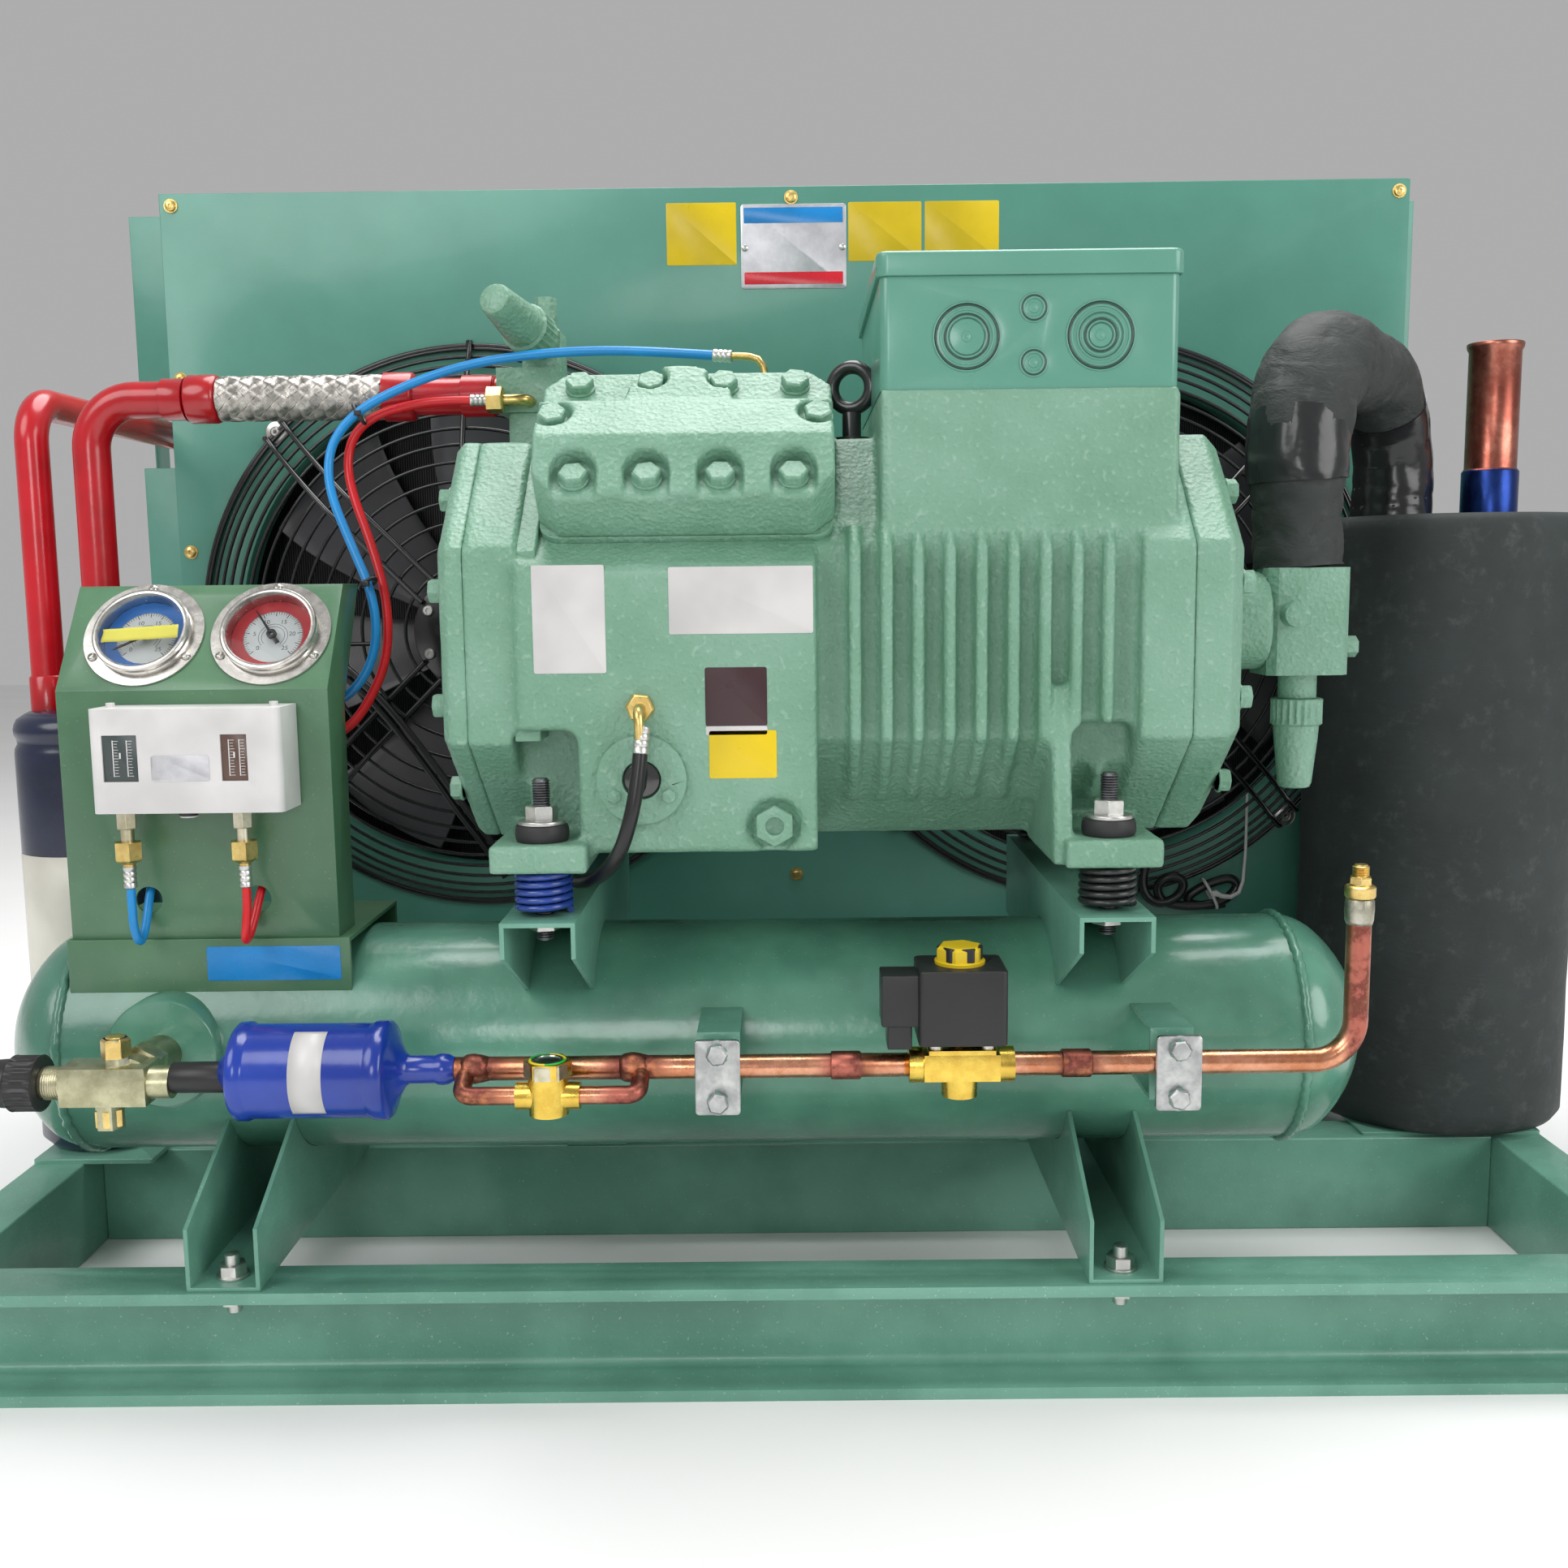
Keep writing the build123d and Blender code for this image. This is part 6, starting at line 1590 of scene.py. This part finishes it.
def makeAccumulator():
    s = accumulatorSettings
    outline = list(s["base"])
    outline += [(8 + s["wall"] * k / 40, s["radius"]) for k in range(1, 41)]
    tank = lathe("accumulatorFoam", at(s["x"], s["y"], s["foot"]), upward, outline + s["top"],
                 "foamTank", 160, 60)
    middle = at(s["x"], s["y"], 0)
    for vertex in tank.data.vertices:
        out = Vector((vertex.co.x - middle.x, vertex.co.y - middle.y, 0))
        if out.length > 0.1:
            out.normalize()
            half = s["seamPitch"] / 2
            seam = 0.9 if abs(vertex.co.z / millimetre % s["seamPitch"] - half) < 3 else 0
            lump = noise.noise(vertex.co * 12) * 1.1 + noise.noise(vertex.co * 50) * 0.35
            vertex.co += out * (lump - 0.8 - seam) * millimetre
    settle(tank, "accumulator")
    makeFoot("accumulatorFoot", s)
    stub = lathe("stub", at(*s["stubAt"]), upward, s["stub"], "stubCopper", 72)
    settle(stub, "suction_stub")


lineY, lineZ = 18, 229  # the liquid line's middle
liquidSettings = {
    "runs": ((-228, 76, 8), (24, 44, 9.5)), "loops": ((-220, -183), (-103, -141)),
    "loopY": -6, "loopZ": 218, "loopBend": 7.5, "loopRadius": 6,
    "riser": [(146, lineY, lineZ), (374, lineY, lineZ), (374, lineY, 340)],
    "riserBend": 28, "radius": 8,
    "sleeve": [(0, 8.6), (0.8, 9.5), (19.2, 9.5), (20, 8.6)], "sleeveX": 178,
    "braze": [(-9, 8), (-6, 9.6), (-1, 10.2), (4, 9.4), (9, 8)], "brazeX": (-214, -108),
    "riserBraze": [(0, 8.2), (3, 9.2), (10, 9.6), (16, 9.2), (18, 8)],
    "access": [(0, 9.4), (1, 10), (7, 10), (8, 9), (8.4, 7), (9, 7)]}


def brazed(name, start, direction, outline, finish):  # a lumpy ring of filler
    made = lathe(name, start, direction, outline, finish, 36, 80)
    for vertex in made.data.vertices:
        lump = noise.noise(vertex.co * 260) * 0.5 + noise.noise(vertex.co * 600) * 0.2
        vertex.co += vertex.normal * lump * millimetre
    return made


def makeLiquid():
    s = liquidSettings
    parts = []
    for start, end, radius in s["runs"]:
        outline = [(0, radius - 0.6), (0.8, radius), (end - start - 0.8, radius),
                   (end - start, radius - 0.6)]
        parts.append(lathe("liquidRun", at(start, lineY, lineZ), rightward, outline,
                           "copperTube", 40))
    for x, end in s["loops"]:
        loop = [(x, lineY - 4, lineZ - 2), (x, s["loopY"], s["loopZ"]),
                (end, s["loopY"], s["loopZ"])]
        parts.append(tubeMesh("loopPipe", arcPoints(loop, s["loopBend"]), s["loopRadius"],
                              "copperTube", 28))
    riser = arcPoints(s["riser"], s["riserBend"])
    parts.append(tubeMesh("riser", riser, s["radius"], "copperTube", 40))
    parts.append(lathe("liquidSleeve", at(s["sleeveX"], lineY, lineZ), rightward, s["sleeve"],
                       "copperTube", 40))
    for x in s["brazeX"]:
        parts.append(brazed("braze", at(x, lineY, lineZ), rightward, s["braze"], "copperTube"))
    settle(join("liquidLine", parts), "liquid_pipe")
    x, y, top = s["riser"][-1]
    braze = brazed("riserBraze", at(x, y, top - 18), upward, s["riserBraze"], "silverBraze")
    settle(braze, slot="zinc")
    fitting = [
        lathe("accessBody", at(x, y, top), upward, s["access"], "brassBare", 40),
        hexBar("accessHex", at(x, y, top + 9), upward, 13, 5, "brassBare", 0.2, 0.8),
        lathe("accessThread", at(x, y, top + 14), upward, threadOutline(8, 5.5, 1.1),
              "brassBare", 28, 20)]
    settle(join("accessConnector", fitting), "access_fitting")


drierSettings = {
    "shellX": -384, "outletX": -262, "inletX": -418, "inletZ": 225,
    "shell": [(0, 10.5), (4, 14), (8, 22), (10, 27), (11, 31), (13, 33), (19, 33), (21, 31.6),
              (23, 31.5), (100, 31.5), (102, 31.8), (104, 33), (112, 33), (114, 31),
              (115.5, 26), (119, 18), (123, 11), (125, 10)],
    "outlet": [(0, 11), (4, 9.4), (21, 9.4), (23, 10.4), (27, 10.6), (30, 10), (33, 8.4),
               (34, 8)],
    "inlet": [(0, 9.6), (1, 10.4), (14, 10.4), (15, 10.5), (20, 10.5), (39, 10.5), (40, 10)],
    "labelX": (-331, -320, -309), "labelFrom": 20, "labelSweep": 115, "labelRadius": 31.62}


def makeDrier():
    s = drierSettings
    parts = [
        lathe("drierShell", at(s["shellX"], lineY, lineZ), rightward, s["shell"],
              "drierEnamel", 112, 50),
        lathe("drierOutlet", at(s["outletX"], lineY, lineZ), rightward, s["outlet"],
              "drierEnamel", 48, 60)]
    settle(join("drier", parts), "filter_drier")
    shrink = lathe("drierInlet", at(s["inletX"], lineY, s["inletZ"]), rightward, s["inlet"],
                   "blackMoulding", 48, 60)
    settle(shrink, slot="black_plastic")
    rows = []
    for i in range(25):
        angle = math.radians(s["labelFrom"] + s["labelSweep"] * i / 24)
        y = lineY - s["labelRadius"] * math.sin(angle)
        z = lineZ + s["labelRadius"] * math.cos(angle)
        rows.append([at(x, y, z) for x in s["labelX"]])
    settle(sheet("drierLabel", rows, "stickerWhite", 0.12), slot="white_plastic")


valveSkins = {
    "receiver_valve": ("receiverValveSkin", "oliveNickel", 0.9, 2),
    "moisture_indicator": ("indicatorBody", "brassGlossy", 0.7, 3),
    "solenoid_valve": ("solenoidBody", "brassGlossy", 0.8, 3),
    "solenoid_coil": ("solenoidCoilSkin", "blackMoulding", 1.3, 3),
}
receiverValveSettings = {
    "capNut": (-455, 18, 240), "lowNut": (-462, 18, 204), "face": 17, "height": 13,
    "top": (-455, 18, 252), "topOutline": [(0, 6.4), (2, 6.2), (2.6, 5)],
    "neck": (-490, 18, 222), "neckLength": 14.6, "neckRadius": 11.4, "pitch": 1.6}
indicatorSettings = {
    "middle": (-162, -6, 218), "hex": 27.6, "rim": 11.4, "rimWire": 0.9,
    "window": [(0, 10.4), (0.9, 10.2), (0.9, 8.4), (0.2, 8), (0.2, 0.1)],
    "glass": [(0, 8), (0.5, 6), (0.7, 0.1)]}
solenoidSettings = {"x": 110, "capHex": 27.8, "capRim": [(0, 16.6), (2.4, 16.8), (3, 16)],
                    "screwX": 17, "screwY": 14, "screwZ": 244, "capZ": 298.4, "capHeight": 12.4,
                    "rimZ": 298.2, "label": (139.4, 16, 272), "labelSize": 34}
clampSettings = {"x": (-51.5, 254), "z": (208.5, 241.5), "hex": 13, "middleZ": 225,
                 "width": 30, "height": 51, "thick": 3.8, "plateY": 8.2, "washerY": 6.4,
                 "boltY": 5.2,
                 "washer": [(0, 9.4), (1.2, 9.4), (1.5, 8.8)]}


def makeReceiverValve():
    s = receiverValveSettings
    nuts = [
        hexBar("capNut", at(*s["capNut"]), upward, s["face"], s["height"], "brassBare", 0.2,
               1.5),
        lathe("capNutTop", at(*s["top"]), upward, s["topOutline"], "nickelPlate", 28),
        hexBar("lowNut", at(*s["lowNut"]), downward, s["face"], s["height"], "copperTube", 0.3,
               1.6)]
    settle(join("capNuts", nuts), slot="brass")
    thread = threadOutline(s["neckLength"], s["neckRadius"], s["pitch"])
    neck = lathe("valveThread", at(*s["neck"]), leftward, thread, "nickelPlate", 40, 20)
    settle(neck, slot="nickel")


def makeIndicator():
    s = indicatorSettings
    x, y, z = s["middle"]
    ring = hexBar("indicatorHex", at(x, y, z + 13.6), upward, s["hex"], 10.2, "nickelPlate",
                  0.1, 1.2)
    settle(ring, slot="nickel")
    for i in range(4):
        angles = [math.radians(90 * i + 9 * k) for k in range(11)]
        points = [at(x + s["rim"] * math.cos(a), y + s["rim"] * math.sin(a), z + 24.1)
                  for a in angles]
        rim = tubeMesh("indicatorRim", points, s["rimWire"], "rimGreen" if i % 2 else "rimYellow",
                       8)
        settle(rim, slot="white_plastic")
    window = lathe("indicatorWindow", at(x, y, z + 23.8), upward, s["window"], "chromeRim", 48)
    settle(window, slot="nickel")
    glass = lathe("indicatorGlass", at(x, y, z + 24.1), upward, s["glass"], "darkGlass", 40)
    settle(glass, slot="nickel")


def makeSolenoid():
    s = solenoidSettings
    x = s["x"]
    cap = hexBar("solenoidCap", at(x, lineY, s["capZ"]), upward, s["capHex"], s["capHeight"],
                 "yellowMoulding", 0.25, 2.0)
    settle(cap, slot="brass")
    rim = lathe("solenoidCapRim", at(x, lineY, s["rimZ"]), upward, s["capRim"],
                "yellowMoulding", 56)
    settle(rim, slot="brass")
    screws = [screw("valveScrew", at(x + dx, lineY + dy, s["screwZ"]), upward, "valve")
              for dx in (-s["screwX"], s["screwX"]) for dy in (-s["screwY"], s["screwY"])]
    settle(join("valveScrews", screws), slot="zinc")
    label = plate("coilLabel", at(*s["label"]), s["labelSize"], s["labelSize"], 0.2,
                  "stickerDark", rightward, bevel=0.05)
    settle(label, slot="black_plastic")


def makeClamps():
    s = clampSettings
    arms = bevelled("clampSkin", "pipe_clamps", "frameEnamel", 0.7, 3)
    settle(arms, "pipe_clamps", slot="frame_paint")
    plates = []
    for x in s["x"]:
        plates.append(plate("clampPlate", at(x, s["plateY"], s["middleZ"]), s["width"],
                            s["height"], s["thick"], "clampZinc", corner=3, bevel=0.5))
        for z in s["z"]:
            plates.append(lathe("clampWasher", at(x, s["washerY"], z), forward, s["washer"],
                                "clampZinc", 36))
            plates.append(hexBar("clampBolt", at(x, s["boltY"], z), forward, s["hex"], 6,
                                 "clampZinc", 0.3 + 0.01 * z, 1.3))
    settle(join("clampPlates", plates), slot="zinc")


leadSettings = {
    "radius": 4.4, "length": 0.33, "motorRadius": 3.2, "motorLength": 0.250, "shifts": (0, 7),
    "coil": [(350, 490, 300), (340, 488, 275), (338, 484, 250), (352, 480, 238),
             (372, 478, 246), (378, 478, 262), (364, 479, 268), (350, 481, 258),
             (356, 482, 240), (384, 480, 236), (414, 480, 240), (430, 481, 254),
             (424, 482, 265), (400, 483, 258), (378, 484, 244), (392, 486, 234),
             (418, 486, 238)],
    "crossing": [(-421, 440, 478), (-407, 437, 466), (-387, 435, 448), (-360, 434, 415),
                 (-329, 434, 372), (-307, 434, 338), (-285, 436, 308), (-269, 438, 280)],
    "tail": [(404, 473, 252), (411, 472, 248), (420, 472, 247), (428, 473, 251),
             (432, 474, 262), (434, 475, 290), (434, 475, 352)],
    "strap": (402, 480, 249), "strapHead": (404, 471, 251)}


def makeLeads():
    s = leadSettings
    makeCord("fanLead", s["coil"], s["radius"], s["length"], "hoseBlack", "limp", "loose",
             slot="hose_black")
    for shift in s["shifts"]:
        route = [(x + shift, y - 0.3 * shift, z + 0.6 * shift) for x, y, z in s["crossing"]]
        makeCord("motorLead", route, s["motorRadius"], s["motorLength"], "hoseBlack", "medium",
                 "hanging", slot="hose_black")
    tail = [at(*point) for point in s["tail"]]
    straps = [
        tieBand(at(*s["strap"]), (1, 0, 0.5), 10.5),
        tubeMesh("strapTail", tail, lambda share: 2.7 - 1.5 * share, "whiteMoulding", 10),
        plate("strapHead", at(*s["strapHead"]), 6, 5, 4, "whiteMoulding", corner=0.8,
              bevel=0.4)]
    settle(join("leadStraps", straps, "whiteMoulding"), slot="white_plastic")


makeLeads()
makeDischarge()
makeBraid()
makeSeparator()
makeSuction()
makeAccumulator()
makeLiquid()
makeDrier()
makeSkins(valveSkins)
makeReceiverValve()
makeIndicator()
makeSolenoid()
makeClamps()
print("piping made")


# ---- inner pieces, which keep their own meshes, and the condenser's header
plainFinishes = {
    "crankshaft": "darkSteel",
    "motor_rotor": "darkSteel",
    "motor_stator": "darkSteel",
    "condenser_coil": "coilFins",
}
headerSettings = {"pipeAt": (-618, 636, 399.5), "stubAt": (-618, 611.5, 704),
                  "pipe": [(0, 8), (3, 12.4), (418, 12.4), (421, 8)],
                  "stub": [(0, 10.4), (20, 10.4)]}


def makeHeader():
    s = headerSettings
    header = [
        lathe("headerPipe", at(*s["pipeAt"]), upward, s["pipe"], "copperTube", 48),
        lathe("headerStub", at(*s["stubAt"]), backward, s["stub"], "copperTube", 40)]
    settle(join("headerPipes", header), slot="copper")


for node, finish in plainFinishes.items():
    cadNodes[node].data.materials.clear()
    cadNodes[node].data.materials.append(finishes[finish])
makeHeader()


# ---- floor and studio light
studioSettings = {"left": -8, "right": 8, "front": -6, "back": 8, "backdrop": 0.42}
lights = {  # place, target, size in metres, power in watts
    "key": ((-2.2, -2.4, 2.7), (0, 0, 0.5), 2.4, 56),
    "fill": ((2.8, -2.2, 1.7), (0, 0, 0.45), 2.2, 50),
    "top": ((0.2, 0.5, 3.1), (0, 0, 0.4), 2.6, 105),
    "strip": ((-0.4, -3.2, 1.1), (0, 0, 0.5), 0.9, 12),
}


def makeFloor():
    s = studioSettings
    paint = Finish("floorPaint")
    cloud = paint.mask(paint.grain(2.2, 3), 0.3, 0.7)
    paint.set("Base Color", paint.mix(cloud, (0.83, 0.83, 0.825), (0.86, 0.86, 0.855)))
    paint.set("Roughness", paint.grain(6, 2) * 0.1 + 0.6)
    shape = bmesh.new()
    weave(shape, [[(x, y, 0) for x in (s["left"], s["right"])] for y in (s["front"], s["back"])])
    fromBmesh("floor", shape, "floorPaint")


def makeLights():
    world = bpy.data.worlds.new("studio")
    world.use_nodes = True
    backdrop = world.node_tree.nodes["Background"]
    backdrop.inputs["Color"].default_value = (1, 1, 1, 1)
    backdrop.inputs["Strength"].default_value = studioSettings["backdrop"]
    bpy.context.scene.world = world
    bpy.context.scene.view_settings.view_transform = "Standard"
    for name, (place, target, size, power) in lights.items():
        light = bpy.data.lights.new(name, "AREA")
        light.shape = "DISK"
        light.size = size
        light.energy = power
        lamp = link(bpy.data.objects.new(name, light))
        lamp.location = place
        aim = Vector(target) - Vector(place)
        lamp.rotation_euler = aim.to_track_quat("-Z", "Y").to_euler()


makeFloor()
makeLights()
print("studio made")
